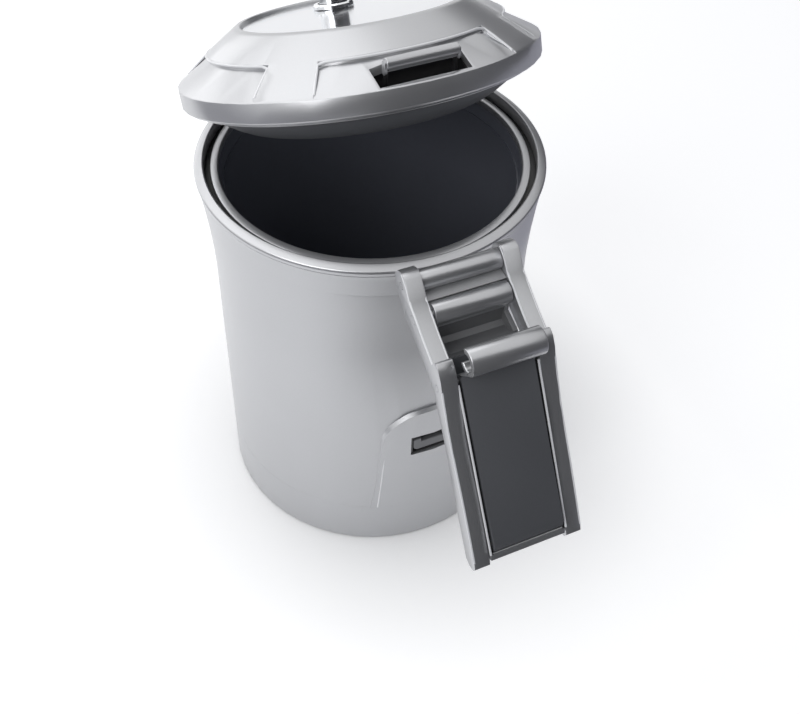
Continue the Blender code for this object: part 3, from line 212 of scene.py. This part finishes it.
def lid_place(point):
    """From the lid's own frame, x, back and up, to the open lid."""
    back, up = point.y - LID_HINGE.y, point.z + LID_BASE
    cos, sin = math.cos(LID_TILT), math.sin(LID_TILT)
    return Vector((point.x, LID_HINGE.y + back * cos - up * sin,
                   LID_HINGE.z + back * sin + up * cos))


def body_radius(height):
    """Outer radius of the waisted body."""
    (_, foot), (waist_height, waist), (top, rim) = BODY_SIDE
    if height <= waist_height:
        return foot + (waist - foot) * height / waist_height
    share = (height - waist_height) / (top - waist_height)
    return waist + (rim - waist) * share * share


def arc(centre, radius, start, end, steps):
    """Points on an arc in a plane of two lengths, in degrees."""
    return [(centre[0] + radius * math.cos(math.radians(start + (end - start) * step / steps)),
             centre[1] + radius * math.sin(math.radians(start + (end - start) * step / steps)))
            for step in range(steps + 1)]


TURN_STEPS = 144
TURN_WELD = 0.0000001
BEAD_SIDES = 10
BEAD_RADIUS = 0.00042


def turned(profile, steps=TURN_STEPS):
    """A closed profile of radius and height, turned about the axis."""
    bm = bmesh.new()
    rings = []
    for step in range(steps):
        angle = 2 * math.pi * step / steps
        rings.append([bm.verts.new((radius * math.sin(angle), -radius * math.cos(angle), height))
                      for radius, height in profile])
    for step, here in enumerate(rings):
        there = rings[(step + 1) % steps]
        for corner in range(len(profile)):
            after = (corner + 1) % len(profile)
            bm.faces.new((here[corner], here[after], there[after], there[corner]))
    bmesh.ops.remove_doubles(bm, verts=bm.verts, dist=TURN_WELD)
    return bm


def prism(near_points, far_points):
    """A solid between two outlines with the same number of points."""
    bm = bmesh.new()
    near, far = [[bm.verts.new(point) for point in points]
                 for points in (near_points, far_points)]
    bm.faces.new(near)
    bm.faces.new(reversed(far))
    for corner in range(len(near)):
        after = (corner + 1) % len(near)
        bm.faces.new((near[corner], far[corner], far[after], near[after]))
    return bm


def slab(outline, low_x, high_x):
    """A plate across the object from a side outline of distance and height."""
    return prism(*[[(x, -distance, height) for distance, height in outline]
                   for x in (low_x, high_x)])


def span(side, inner, outer):
    """Low and high x of a plate between two widths on one side."""
    return sorted((side * inner, side * outer))


def tube(path, outward, radius=BEAD_RADIUS, sides=BEAD_SIDES):
    """A round bead along a path; outward gives each point's upright."""
    bm = bmesh.new()
    rings = []
    for step, point in enumerate(path):
        ahead = path[min(step + 1, len(path) - 1)] - path[max(step - 1, 0)]
        up = outward(point).normalized()
        across = ahead.cross(up).normalized()
        turns = [2 * math.pi * side / sides for side in range(sides)]
        rings.append([bm.verts.new(point + radius * (up * math.cos(turn)
                                                     + across * math.sin(turn)))
                      for turn in turns])
    for here, there in zip(rings, rings[1:]):
        for side in range(sides):
            after = (side + 1) % sides
            bm.faces.new((here[side], here[after], there[after], there[side]))
    bm.faces.new(rings[0])
    bm.faces.new(reversed(rings[-1]))
    return bm


def new_item(name, bm):
    """An object in the scene from a mesh in the making."""
    mesh = bpy.data.meshes.new(name)
    bm.to_mesh(mesh)
    bm.free()
    item = bpy.data.objects.new(name, mesh)
    bpy.context.scene.collection.objects.link(item)
    return item


def add_piece(name, bm, look, body, place=None, finish_edges=True):
    """A piece of the scene on a body, with its finish. Its points are
    moved by place where that is given, and its edges are made soft or sharp
    here unless the caller does that."""
    if place:
        for vert in bm.verts:
            vert.co = place(vert.co)
    bmesh.ops.recalc_face_normals(bm, faces=bm.faces)
    item = new_item(name, bm)
    item.data.materials.append(LOOKS[look])
    item.data.shade_smooth()
    if finish_edges and name in PIECE_BEVELS:
        round_edges(item, PIECE_BEVELS[name])
    elif finish_edges:
        item.data.set_sharp_from_angle(angle=math.radians(SHARP_ANGLE))
    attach(item, body)
    return item


def reshape(node, name, body, move):
    """A copy of a node with its points moved a little, in the node's place."""
    bm = bmesh.new()
    bm.from_mesh(NODES[node].data)
    bmesh.ops.remove_doubles(bm, verts=bm.verts, dist=WELD_DISTANCE)
    bmesh.ops.dissolve_limit(bm, angle_limit=math.radians(FLAT_ANGLE), verts=bm.verts,
                             edges=bm.edges)
    item = add_piece(name, bm, SLOTS[node], body, move, finish_edges=False)
    item.data.set_sharp_from_angle(angle=math.pi)
    round_edges(item, PIECE_BEVELS.get(name, 0.0))
    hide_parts(node)
    return item


# The arch panel: the outline of the solid and the softer one of the photograph. Sides are pairs
# of height and half width, and crowns run over the shoulder to the top of the arch.
PANEL_RADIUS = 0.0676
SHOULDER = 0.0700
PANEL_LOW = 0.02451
PANEL_REACH = 0.115
PANEL_FRONT = -0.045
SKIN = 0.0006
PULL = ((0.50, 0.0), (0.92, 1.0), (1.12, 1.0), (2.0, 0.0))
CAD_SIDES = ((0.0245, 0.0243), (0.0700, 0.0207))
NEW_SIDES = ((0.0245, 0.0236), (0.0447, 0.0219), (0.0645, 0.0205), (0.0700, 0.0197))
CAD_CROWN = [(0.0207 * math.sqrt(abs(across)), 0.0193 * up)
             for across, up in arc((0, 0), 1, 0, 90, 24)]
NEW_CROWN = ((0.0197, 0.0), (0.0192, 0.0038), (0.0158, 0.0106), (0.0103, 0.0152),
             (0.0045, 0.0166), (0.0, 0.0168))


def along(table, value):
    """The second number of a table at a value of its first one."""
    for (low, first), (high, second) in zip(table, table[1:]):
        if value <= high:
            return first + (second - first) * max(0.0, value - low) / (high - low)
    return table[-1][1]


def by_angle(crown):
    """A crown as pairs of angle and distance from its middle."""
    return [(math.atan2(up, across), math.hypot(across, up)) for across, up in crown]


def pull(share):
    """How far a point follows the outline: fully on it, not at all far off."""
    return along(PULL, share)


def soften_arch(point):
    """Move the arch's edge from the solid's outline to the photograph's."""
    radius = math.hypot(point.x, point.y)
    inside = radius < body_radius(point.z) - SKIN
    if point.y > PANEL_FRONT or not PANEL_LOW < point.z < PANEL_REACH or inside:
        return point
    across, up = abs(point.x), point.z - SHOULDER
    if up <= 0:
        edge = along(CAD_SIDES, point.z)
        change = along(NEW_SIDES, point.z) / edge - 1
        across *= 1 + change * pull(across / edge)
    else:
        angle = math.atan2(up, across)
        edge = along(by_angle(CAD_CROWN), angle)
        change = along(by_angle(NEW_CROWN), angle) / edge - 1
        grow = 1 + change * pull(math.hypot(across, up) / edge)
        across, up = across * grow, up * grow
    height = up + SHOULDER
    if radius < PANEL_RADIUS - SKIN / 2:
        radius += body_radius(height) - body_radius(point.z)
    return Vector((math.copysign(across, point.x), -math.sqrt(radius ** 2 - across ** 2), height))


reshape("outer_shell", "shell_skin", "body", soften_arch)


ARCH_EDGE_LOW = 0.0249
ARCH_EDGE_STEP = 0.0041
ARCH_EDGE_COUNT = 12
ARCH_EDGE_SHARE = 0.45
ARCH_EDGE_SINK = 0.0001


def arch_edge():
    """The rounded edge that runs round the arch panel, painted light as a highlight."""
    heights = [ARCH_EDGE_LOW + ARCH_EDGE_STEP * step for step in range(ARCH_EDGE_COUNT)]
    side = [(along(NEW_SIDES, height), height) for height in heights]
    crown = [(across, SHOULDER + up) for across, up in NEW_CROWN]
    half = side[:-1] + smooth_run(crown)
    outline = half + [(-across, height) for across, height in reversed(half[:-1])]
    path = []
    for across, height in outline:
        step_back = ARCH_EDGE_SHARE * (PANEL_RADIUS - body_radius(height))
        radius = PANEL_RADIUS - step_back - ARCH_EDGE_SINK
        path.append(Vector((across, -math.sqrt(radius ** 2 - across ** 2), height)))
    return tube(path, lambda point: Vector((point.x, point.y, 0)))


def smooth_run(points, steps=4):
    """More points on a soft curve through the given ones."""
    run = []
    for index in range(len(points) - 1):
        before, start = points[max(index - 1, 0)], points[index]
        end, after = points[index + 1], points[min(index + 2, len(points) - 1)]
        for step in range(steps):
            t = step / steps
            run.append(tuple(0.5 * (2 * b + (c - a) * t + (2 * a - 5 * b + 4 * c - d) * t * t
                                    + (3 * b - a - 3 * c + d) * t ** 3)
                             for a, b, c, d in zip(before, start, end, after)))
    return run + [points[-1]]


add_piece("arch_edge", arch_edge(), "edge", "body")

# Rim, as pairs of radius and height: a lip that slopes outward with two fine grooves below it,
# a black groove, the ring round the mouth and the slope from the ring down to the cup
GROOVE_HEIGHTS = (0.1679, 0.1662)
GROOVE_DEPTH = 0.00030
BAND_LOW = 0.1557
BAND_STEP = 0.0011
BAND_COUNT = 9
RIM_BAND = ([(0.0643, 0.1650), (0.0643, 0.1694)] + arc((0.0648, 0.1694), 0.0005, 180, 66, 4)
            + arc((0.0671, 0.1681), 0.0009, 66, 0, 5))
for groove in GROOVE_HEIGHTS:
    outer = body_radius(groove)
    RIM_BAND += [(outer, groove), (outer - GROOVE_DEPTH, groove - GROOVE_DEPTH / 2),
                 (outer, groove - GROOVE_DEPTH)]
for step in reversed(range(BAND_COUNT)):
    height = BAND_LOW + BAND_STEP * step
    RIM_BAND.append((body_radius(height), height))
RIM_BAND += [(0.0638, BAND_LOW), (0.0622, 0.1545), (0.0622, 0.1600)]
rim = add_piece("rim_band", turned(RIM_BAND), "silver", "body")
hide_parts("rim_collar")
# Painted shade: a black ring on the floor of the rim's groove, where the deep groove lies in shade
RIM_GROOVE = ((0.0642, 0.1645), (0.0642, 0.1652), (0.0621, 0.1652), (0.0621, 0.1645))
add_piece("rim_groove", turned(RIM_GROOVE), "black", "body")
MOUTH_RING = ([(0.0620, 0.1635), (0.0620, 0.1666)] + arc((0.0616, 0.1666), 0.0004, 0, 83, 3)
              + arc((0.0594, 0.1668), 0.0005, 83, 180, 4) + [(0.0589, 0.1640)])
ring = add_piece("mouth_ring", turned(MOUTH_RING), "silver", "body")
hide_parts("trim_ring")
CUP_MOUTH = ((0.0596, 0.1652), (0.0588, 0.1648), (0.0583, 0.1620), (0.0577, 0.1588),
             (0.0580, 0.1584), (0.0600, 0.1638))
add_piece("cup_mouth", turned(CUP_MOUTH), "liner", "body")

# Thin seams where the base ring and the collar meet the shell
SEAM_SINK = 0.00006
SEAM_DEPTH = 0.0012
SEAM_HALF = 0.0004
SEAM_HEIGHTS = {"base_seam": 0.0243, "collar_seam": 0.1559}
for name, height in SEAM_HEIGHTS.items():
    outer = body_radius(height) - SEAM_SINK
    inner, top, low = outer - SEAM_DEPTH, height + SEAM_HALF, height - SEAM_HALF
    add_piece(name, turned([(outer, top), (outer, low), (inner, low), (inner, top)]),
              "silver", "body")

# Below the lid, in the lid's frame: the band's lip, the seal and the skirt of the plug
BAND_LIP = ((0.0641, 0.0006), (0.0641, -0.0008), (0.0638, -0.0011), (0.0631, -0.0011),
            (0.0631, 0.0006))
SEAL_LIP = ((0.0630, 0.0004), (0.0630, -0.0012), (0.0612, -0.0018), (0.0602, -0.0022),
            (0.0590, -0.0022), (0.0590, 0.0004))
add_piece("band_lip", turned(BAND_LIP), "silver", "lid", lid_place)
seal = add_piece("seal_lip", turned(SEAL_LIP), "seal", "lid", lid_place)
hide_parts("lid_seal")
PLUG_SKIRT = ((0.0589, 0.0010), (0.0589, -0.0024), (0.0560, -0.0050), (0.0520, -0.0078),
              (0.0488, -0.0095), (0.0478, -0.0099), (0.0468, -0.0095), (0.0464, -0.0086),
              (0.0464, -0.0062), (0.0, -0.0062), (0.0, 0.0010))
skirt = add_piece("plug_skirt", turned(PLUG_SKIRT), "dark_grey", "lid", lid_place)
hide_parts("lid_plug")

# The lid's sunk panels, moved to the photograph's angles, with soft bright edges. PANEL_TURNS
# pairs the solid's angle from the front with the new one, and CONE pairs radius and height.
PANEL_BEAD = 0.00050
PANEL_TOP = 0.0543
PANEL_FOOT = 0.0654
PANEL_STEP = 0.0017
PANEL_COUNT = 7
PANEL_TOP_STEPS = 24
PANEL_SINK = 0.0004
PANEL_TURNS = ((0.0, 0.0), (20.0, 20.0), (37.0, 32.5), (58.0, 51.2), (100.0, 98.0), (120.0, 120.0),
               (180.0, 180.0))
PANEL_ENDS = (("front", -32.5, 32.5), ("left", -51.2, -119.5), ("right", 51.2, 119.5))
CONE = ((0.0536, 0.0170), (0.0581, 0.0140), (0.0624, 0.0109), (0.0662, 0.0080))


def lid_frame(point):
    """From the open lid back to the lid's own frame."""
    back, up = point.y - LID_HINGE.y, point.z - LID_HINGE.z
    cos, sin = math.cos(LID_TILT), math.sin(LID_TILT)
    return Vector((point.x, LID_HINGE.y + back * cos + up * sin, up * cos - back * sin - LID_BASE))


def turn_panels(point):
    """Turn a point of the lid about its axis by the table of angles."""
    place = lid_frame(point)
    radius = math.hypot(place.x, place.y)
    angle = math.degrees(math.atan2(abs(place.x), -place.y))
    turn = math.radians(along(PANEL_TURNS, angle))
    return lid_place(Vector((math.copysign(radius * math.sin(turn), place.x),
                             -radius * math.cos(turn), place.z)))


def panel_edge(first, last):
    """A bead up one side of a sunk panel, round its top and down again."""
    rise = [(first, PANEL_FOOT - PANEL_STEP * step) for step in range(PANEL_COUNT)]
    fall = [(last, radius) for first, radius in reversed(rise)]
    top = [(first + (last - first) * step / PANEL_TOP_STEPS, PANEL_TOP)
           for step in range(1, PANEL_TOP_STEPS)]
    path = []
    for angle, radius in rise + top + fall:
        turn = math.radians(angle)
        path.append(lid_place(Vector((radius * math.sin(turn), -radius * math.cos(turn),
                                      along(CONE, radius) - PANEL_SINK))))
    upright = lid_place(Vector((0, 0, 1))) - lid_place(Vector((0, 0, 0)))
    return tube(path, lambda point: upright, PANEL_BEAD)


reshape("lid_shell", "lid_skin", "lid", turn_panels)
# The beads at the panels' edges are painted light as highlights
for name, first, last in PANEL_ENDS:
    add_piece("lid_edge_" + name, panel_edge(first, last), "edge", "lid")

# The rolled bar in the lid's window, on two slim ears, as distance and height in the lid's frame
ROLL = (0.0619, 0.0144)
ROLL_RADIUS = 0.0019
ROLL_HALF = 0.0125
ROLL_SIDES = 24
EYE = (0.0572, 0.0056)
TAB_SHARE = 0.28
TAB_ROUND = 0.0012
TAB_SPAN = (0.0122, 0.0131)
LINK_ROUND = 0.0011
LINK_SPAN = (0.0118, 0.0126)
CATCH_LIP = ((0.0619, 0.0144), (0.0619, 0.0118), (0.0610, 0.0118), (0.0610, 0.0144))
CATCH_LIP_HALF = 0.0122
roll_outline = arc(ROLL, ROLL_RADIUS, 0, 360, ROLL_SIDES)[:-1]
roll = add_piece("catch_roll", slab(roll_outline, -ROLL_HALF, ROLL_HALF), "silver", "catch",
                 lid_place)
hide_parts("catch_bar")


def link_outline(start, end, wide):
    """A straight link with round ends between two places in the side view."""
    turn = math.degrees(math.atan2(end[1] - start[1], end[0] - start[0]))
    return arc(start, wide, turn + 90, turn + 270, 6) + arc(end, wide, turn - 90, turn + 90, 6)


SIDES = ((-1, "left"), (1, "right"))
TAB_END = tuple(start + (end - start) * TAB_SHARE for start, end in zip(ROLL, EYE))
for side, name in SIDES:
    tab = link_outline(ROLL, TAB_END, TAB_ROUND)
    add_piece("catch_tab_" + name, slab(tab, *span(side, *TAB_SPAN)), "silver", "catch",
              lid_place)
    link = link_outline(ROLL, EYE, LINK_ROUND)
    add_piece("catch_link_" + name, slab(link, *span(side, *LINK_SPAN)), "black", "catch",
              lid_place)
add_piece("catch_lip", slab(CATCH_LIP, -CATCH_LIP_HALF, CATCH_LIP_HALF), "silver", "catch",
          lid_place)

# Handle, as distance in front of the axis and height. Shares run from the arm's boss (0, 0) to
# the lower end of the grip (1, 1).
BOSS = Vector((0.0775, 0.1737))
HANDLE_SPAN = Vector((0.0673, -0.0771))
ARM_EDGE_SHARES = ((0.000, -0.068), (0.060, -0.030), (0.111, 0.022), (0.183, 0.061),
                   (0.273, 0.110), (0.385, 0.162))
ARM_LOW_SHARES = ((0.502, 0.238), (0.542, 0.313), (0.617, 0.440), (0.703, 0.562),
                  (0.802, 0.697), (0.906, 0.848), (0.985, 0.968))


def handle_spot(shares):
    """A place in the handle's side view from its two shares."""
    return Vector((BOSS.x + HANDLE_SPAN.x * shares[0], BOSS.y + HANDLE_SPAN.y * shares[1]))


GRIP_TOP = handle_spot((0.542, 0.313))
GRIP_LOW = handle_spot((0.906, 0.848))
GRIP_DOWN = (GRIP_LOW - GRIP_TOP).normalized()
GRIP_OUT = Vector((-GRIP_DOWN.y, GRIP_DOWN.x))


def grip_point(down, out):
    """A point at a length down the grip's front line and out of it."""
    place = GRIP_TOP + GRIP_DOWN * down + GRIP_OUT * out
    return (place.x, place.y)


# Black slots beside the grip plate, painted shade in the gaps, each with a bead painted light as a
# highlight, and two webs between the arms
SLOT_SPAN = (0.0139, 0.0151)
SLOT_SIDE = [grip_point(-0.0060, -0.0005), grip_point(0.0575, 0.0004),
             grip_point(0.0575, -0.0032), grip_point(-0.0060, -0.0032)]
SEAM_ACROSS = 0.0149
SEAM_START = (-0.0070, 0.0001)
SEAM_STEP = (0.0064, 0.00008)
SEAM_COUNT = 11
SEAM_RUN = [grip_point(SEAM_START[0] + SEAM_STEP[0] * step, SEAM_START[1] + SEAM_STEP[1] * step)
            for step in range(SEAM_COUNT)]
SEAM_UPRIGHT = Vector((0, -0.86, 0.51))
HANDLE_WEB = [grip_point(-0.0140, -0.0064), grip_point(0.0050, -0.0064),
              grip_point(0.0050, -0.0076), grip_point(-0.0140, -0.0076)]
YOKE_WEB = ((0.0775, 0.1716), (0.0843, 0.1702), (0.0840, 0.1692), (0.0775, 0.1702))
WEB_HALF = 0.0150
for side, name in SIDES:
    add_piece("grip_slot_" + name, slab(SLOT_SIDE, *span(side, *SLOT_SPAN)), "black", "handle")
    seam = [Vector((side * SEAM_ACROSS, -distance, height)) for distance, height in SEAM_RUN]
    add_piece("grip_seam_" + name, tube(seam, lambda point: SEAM_UPRIGHT), "edge", "handle")
# The dark web closes the hollow behind the hook between the arms and keeps it dark
add_piece("handle_web", slab(HANDLE_WEB, -WEB_HALF, WEB_HALF), "dark_grey", "handle")

# The inner turn of the hook roll
HOOK_CENTRE = Vector((0.1120, 0.1676))
HOOK_RADIUS = 0.0050
CURL_INNER = 0.0031
CURL_HALF = 0.0136
CURL_START, CURL_END, CURL_STEPS = -60, -138, 8
curl = (arc(HOOK_CENTRE, HOOK_RADIUS, CURL_START, CURL_END, CURL_STEPS)
        + arc(HOOK_CENTRE, CURL_INNER, CURL_END, CURL_START, CURL_STEPS))
add_piece("hook_curl", slab(curl, -CURL_HALF, CURL_HALF), "silver", "grip")

# Beads along the front edges of the arms, painted light as highlights
ARM_INNER = 0.0154
ARM_OUTER = 0.0210
BEAD_SINK = 0.0002
ARM_UPRIGHT = Vector((0, -0.6, 0.8))
for side, name in SIDES:
    for place, across, shares in (("inner", ARM_INNER, ARM_EDGE_SHARES),
                                  ("outer", ARM_OUTER, ARM_EDGE_SHARES),
                                  ("low", ARM_OUTER, ARM_LOW_SHARES)):
        path = [Vector((side * across, BEAD_SINK - distance, height - BEAD_SINK))
                for distance, height in smooth_run([handle_spot(pair) for pair in shares])]
        add_piece("arm_edge_" + place + "_" + name,
                  tube(path, lambda point: ARM_UPRIGHT), "edge", "handle")

# The cradle: a narrower foot, and shade in the pocket below its barrel
FOOT_SHARE = 0.70
FOOT_FRONT = 0.0700
FOOT_REACH = 0.0110
FOOT_TOP = 0.148
FOOT_RISE = 0.006
POCKET_TOP = 0.1608
POCKET_BACK = 0.0840


def narrow_foot(point):
    """Draw the bracket's foot in behind the arms."""
    share = min(1.0, max(0.0, (-point.y - FOOT_FRONT) / FOOT_REACH,
                         (point.z - FOOT_TOP) / FOOT_RISE))
    return Vector((point.x * (FOOT_SHARE + (1 - FOOT_SHARE) * share), point.y, point.z))


def shade_faces(mesh, hidden):
    """Give the faces that lie in a hollow the look of the shade."""
    mesh.materials.append(LOOKS["shade"])
    for face in mesh.polygons:
        if hidden(-face.center.y, face.center.z):
            face.material_index = 1


cradle = reshape("front_bracket", "cradle", "body", narrow_foot)
shade_faces(cradle.data, lambda distance, height: height < POCKET_TOP and distance > POCKET_BACK)
add_piece("yoke_web", slab(YOKE_WEB, -WEB_HALF, WEB_HALF), "yoke", "handle")

# The tongue's face: a soft grey bar with a slot in its upper middle
TONGUE_FRONT = 0.0664
TONGUE_BACK = 0.0640
TONGUE_SHAPE = ([(-0.0086, 0.0697), (-0.0086, 0.0652)]
                + arc((-0.0060, 0.0652), 0.0026, 180, 250, 4)
                + arc((0.0060, 0.0652), 0.0026, 290, 360, 4)
                + [(0.0086, 0.0697), (0.0050, 0.0697), (0.0050, 0.0676), (-0.0050, 0.0676),
                   (-0.0050, 0.0697)])
tongue_outlines = [[(x, -distance, height) for x, height in TONGUE_SHAPE]
                   for distance in (TONGUE_FRONT, TONGUE_BACK)]
tongue = add_piece("tongue_face", prism(*tongue_outlines), "tongue", "tongue")
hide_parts("release_tongue")

# The hollow of the hook roll lies in its own shade
HOLLOW_RADIUS = 0.0042
HOLLOW_FRONT = 0.1105
shade_faces(NODES["hook_roll"].data, lambda distance, height:
            (Vector((distance, height)) - HOOK_CENTRE).length < HOLLOW_RADIUS
            or distance < HOLLOW_FRONT)


# Camera, light and floor. Each card: name, place, size, brightness, what it faces, and how much
# bluer than grey it is. Each lamp: name, place, size and power.
CARDS = (
    ("front_wall", (0.30, -1.20, 0.66), (2.6, 1.36), 0.02, (0.30, 0, 0.66)),
    ("left_wall", (-1.00, -0.85, 0.30), (1.0, 0.62), 0.10, (0, 0, 0.20)),
    ("right_wall", (1.15, -0.10, 0.42), (2.4, 0.92), 0.05, (0, 0, 0.30)),
    ("back_wall", (1.00, 0.75, 0.50), (0.8, 0.6), 0.06, (0, 0, 0.30)),
    ("back_left_glow", (-0.60, 1.20, 0.35), (0.9, 0.6), 2.0, (0, 0, 0.20), 1.0),
    ("front_floor", (0.45, -0.72, 0.010), (1.4, 1.10), 0.02),
    ("left_floor", (-0.75, -0.20, 0.010), (0.9, 1.4), 0.25),
    ("right_floor", (0.66, 0.10, 0.011), (1.0, 0.9), 0.40),
)
LAMPS = (
    ("key", (-0.9, -0.5, 0.9), (0.8, 0.8), 6.0),
    ("top", (-0.40, 0.55, 1.15), (1.2, 1.2), 4.3),
)

# The camera's place is in rim radii, and its turn in degrees is added to a look at a point on
# the axis
FOCAL_PIXELS = 1017
PHOTO_WIDTH = 800
SENSOR_WIDTH = 36.0
CAMERA_PLACE = Vector((-1.804, -4.398, 6.001))
CAMERA_AIM = Vector((0, 0, 1.25))
CAMERA_TURN = (-2.905, -1.594, -0.36)


def aim_camera():
    """The photograph's view."""
    camera = bpy.data.cameras.new("camera")
    camera.sensor_width = SENSOR_WIDTH
    camera.lens = SENSOR_WIDTH * FOCAL_PIXELS / PHOTO_WIDTH
    item = bpy.data.objects.new("camera", camera)
    bpy.context.scene.collection.objects.link(item)
    item.location = CAMERA_PLACE * RIM_RADIUS
    toward = CAMERA_AIM * RIM_RADIUS - item.location
    turn = toward.to_track_quat("-Z", "Y")
    offset = Euler([math.radians(angle) for angle in CAMERA_TURN], "YXZ")
    item.rotation_mode = "QUATERNION"
    item.rotation_quaternion = turn @ offset.to_quaternion()
    bpy.context.scene.camera = item


LAMP_AIM = (0, 0, 0.11)


def lamp(name, place, size, power):
    """A soft area lamp aimed at the middle of the body."""
    light = bpy.data.lights.new(name, "AREA")
    light.shape = "RECTANGLE"
    light.size, light.size_y = size
    light.energy = power
    item = bpy.data.objects.new(name, light)
    bpy.context.scene.collection.objects.link(item)
    item.location = place
    item.rotation_euler = (Vector(LAMP_AIM) - Vector(place)).to_track_quat("-Z", "Y").to_euler()


def seen_rays(nodes, links):
    """One for the rays of the camera, of reflections and of clear pieces."""
    path = nodes.new("ShaderNodeLightPath")
    seen = path.outputs["Is Camera Ray"]
    for ray in ("Is Glossy Ray", "Is Transmission Ray"):
        either = maths(nodes, "MAXIMUM")
        links.new(seen, either.inputs[0])
        links.new(path.outputs[ray], either.inputs[1])
        seen = either.outputs[0]
    return seen


FILL_COLOUR = (0.93, 0.95, 1.0, 1)
FILL_STRENGTH = 0.45


def make_world():
    """White to the eye and in reflections, and a soft fill for the light."""
    world = bpy.data.worlds.new("studio")
    bpy.context.scene.world = world
    world.use_nodes = True
    nodes = world.node_tree.nodes
    links = world.node_tree.links
    nodes.clear()
    out = nodes.new("ShaderNodeOutputWorld")
    fill = nodes.new("ShaderNodeBackground")
    fill.inputs["Color"].default_value = FILL_COLOUR
    fill.inputs["Strength"].default_value = FILL_STRENGTH
    white = nodes.new("ShaderNodeBackground")
    white.inputs["Color"].default_value = (1, 1, 1, 1)
    white.inputs["Strength"].default_value = 1.0
    mix = nodes.new("ShaderNodeMixShader")
    links.new(seen_rays(nodes, links), mix.inputs["Fac"])
    links.new(fill.outputs[0], mix.inputs[1])
    links.new(white.outputs[0], mix.inputs[2])
    links.new(mix.outputs[0], out.inputs["Surface"])


def square(name, half):
    """A flat square in the scene."""
    bm = bmesh.new()
    bmesh.ops.create_grid(bm, x_segments=1, y_segments=1, size=half)
    return new_item(name, bm)


FLOOR_HALF = 4
FLOOR_DROP = 0.0001
FLOOR_COLOUR = (0.82, 0.82, 0.82, 1)
FLOOR_ROUGHNESS = 0.6
FLOOR_GLOW = 0.46
SHADOW_REACH = 0.09
SHADOW_SAMPLES = 12
SHADOW_POWER = 2.2


def make_floor():
    """A pale floor that meets the white behind it and darkens near the object."""
    floor = square("floor", FLOOR_HALF)
    floor.location.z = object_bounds()[0][2] - FLOOR_DROP
    look, nodes, links, shader = new_look("floor_white")
    shader.inputs["Base Color"].default_value = FLOOR_COLOUR
    shader.inputs["Roughness"].default_value = FLOOR_ROUGHNESS
    glow = nodes.new("ShaderNodeEmission")
    scale = maths(nodes, "MULTIPLY", FLOOR_GLOW)
    links.new(seen_rays(nodes, links), scale.inputs[0])
    near = nodes.new("ShaderNodeAmbientOcclusion")
    near.inputs["Distance"].default_value = SHADOW_REACH
    near.samples = SHADOW_SAMPLES
    shadow = maths(nodes, "MULTIPLY")
    deeper = maths(nodes, "POWER", SHADOW_POWER)
    links.new(near.outputs["AO"], deeper.inputs[0])
    links.new(scale.outputs[0], shadow.inputs[0])
    links.new(deeper.outputs[0], shadow.inputs[1])
    links.new(shadow.outputs[0], glow.inputs["Strength"])
    total = nodes.new("ShaderNodeAddShader")
    links.new(shader.outputs[0], total.inputs[0])
    links.new(glow.outputs[0], total.inputs[1])
    links.new(total.outputs[0], nodes["Material Output"].inputs["Surface"])
    floor.data.materials.append(look)


def card(name, place, size, shade, target=None, blue=1.15):
    """A plain card beside the object, seen only in its reflections."""
    item = square(name, 0.5)
    item.location = place
    item.scale = (*size, 1)
    if target:
        turn = (Vector(target) - Vector(place)).to_track_quat("Z", "Y")
        item.rotation_euler = turn.to_euler()
    item.visible_camera = False
    item.visible_shadow = False
    item.visible_diffuse = False
    look, _, _, shader = new_look(name)
    shader.inputs["Base Color"].default_value = (0, 0, 0, 1)
    shader.inputs["Emission Color"].default_value = (shade, shade, shade * blue, 1)
    shader.inputs["Emission Strength"].default_value = 1.0
    shader.inputs["Specular IOR Level"].default_value = 0.0
    item.data.materials.append(look)


aim_camera()
make_world()
make_floor()
for row in CARDS:
    card(*row)
for row in LAMPS:
    lamp(*row)

scene = bpy.context.scene
scene.view_settings.view_transform = "Standard"
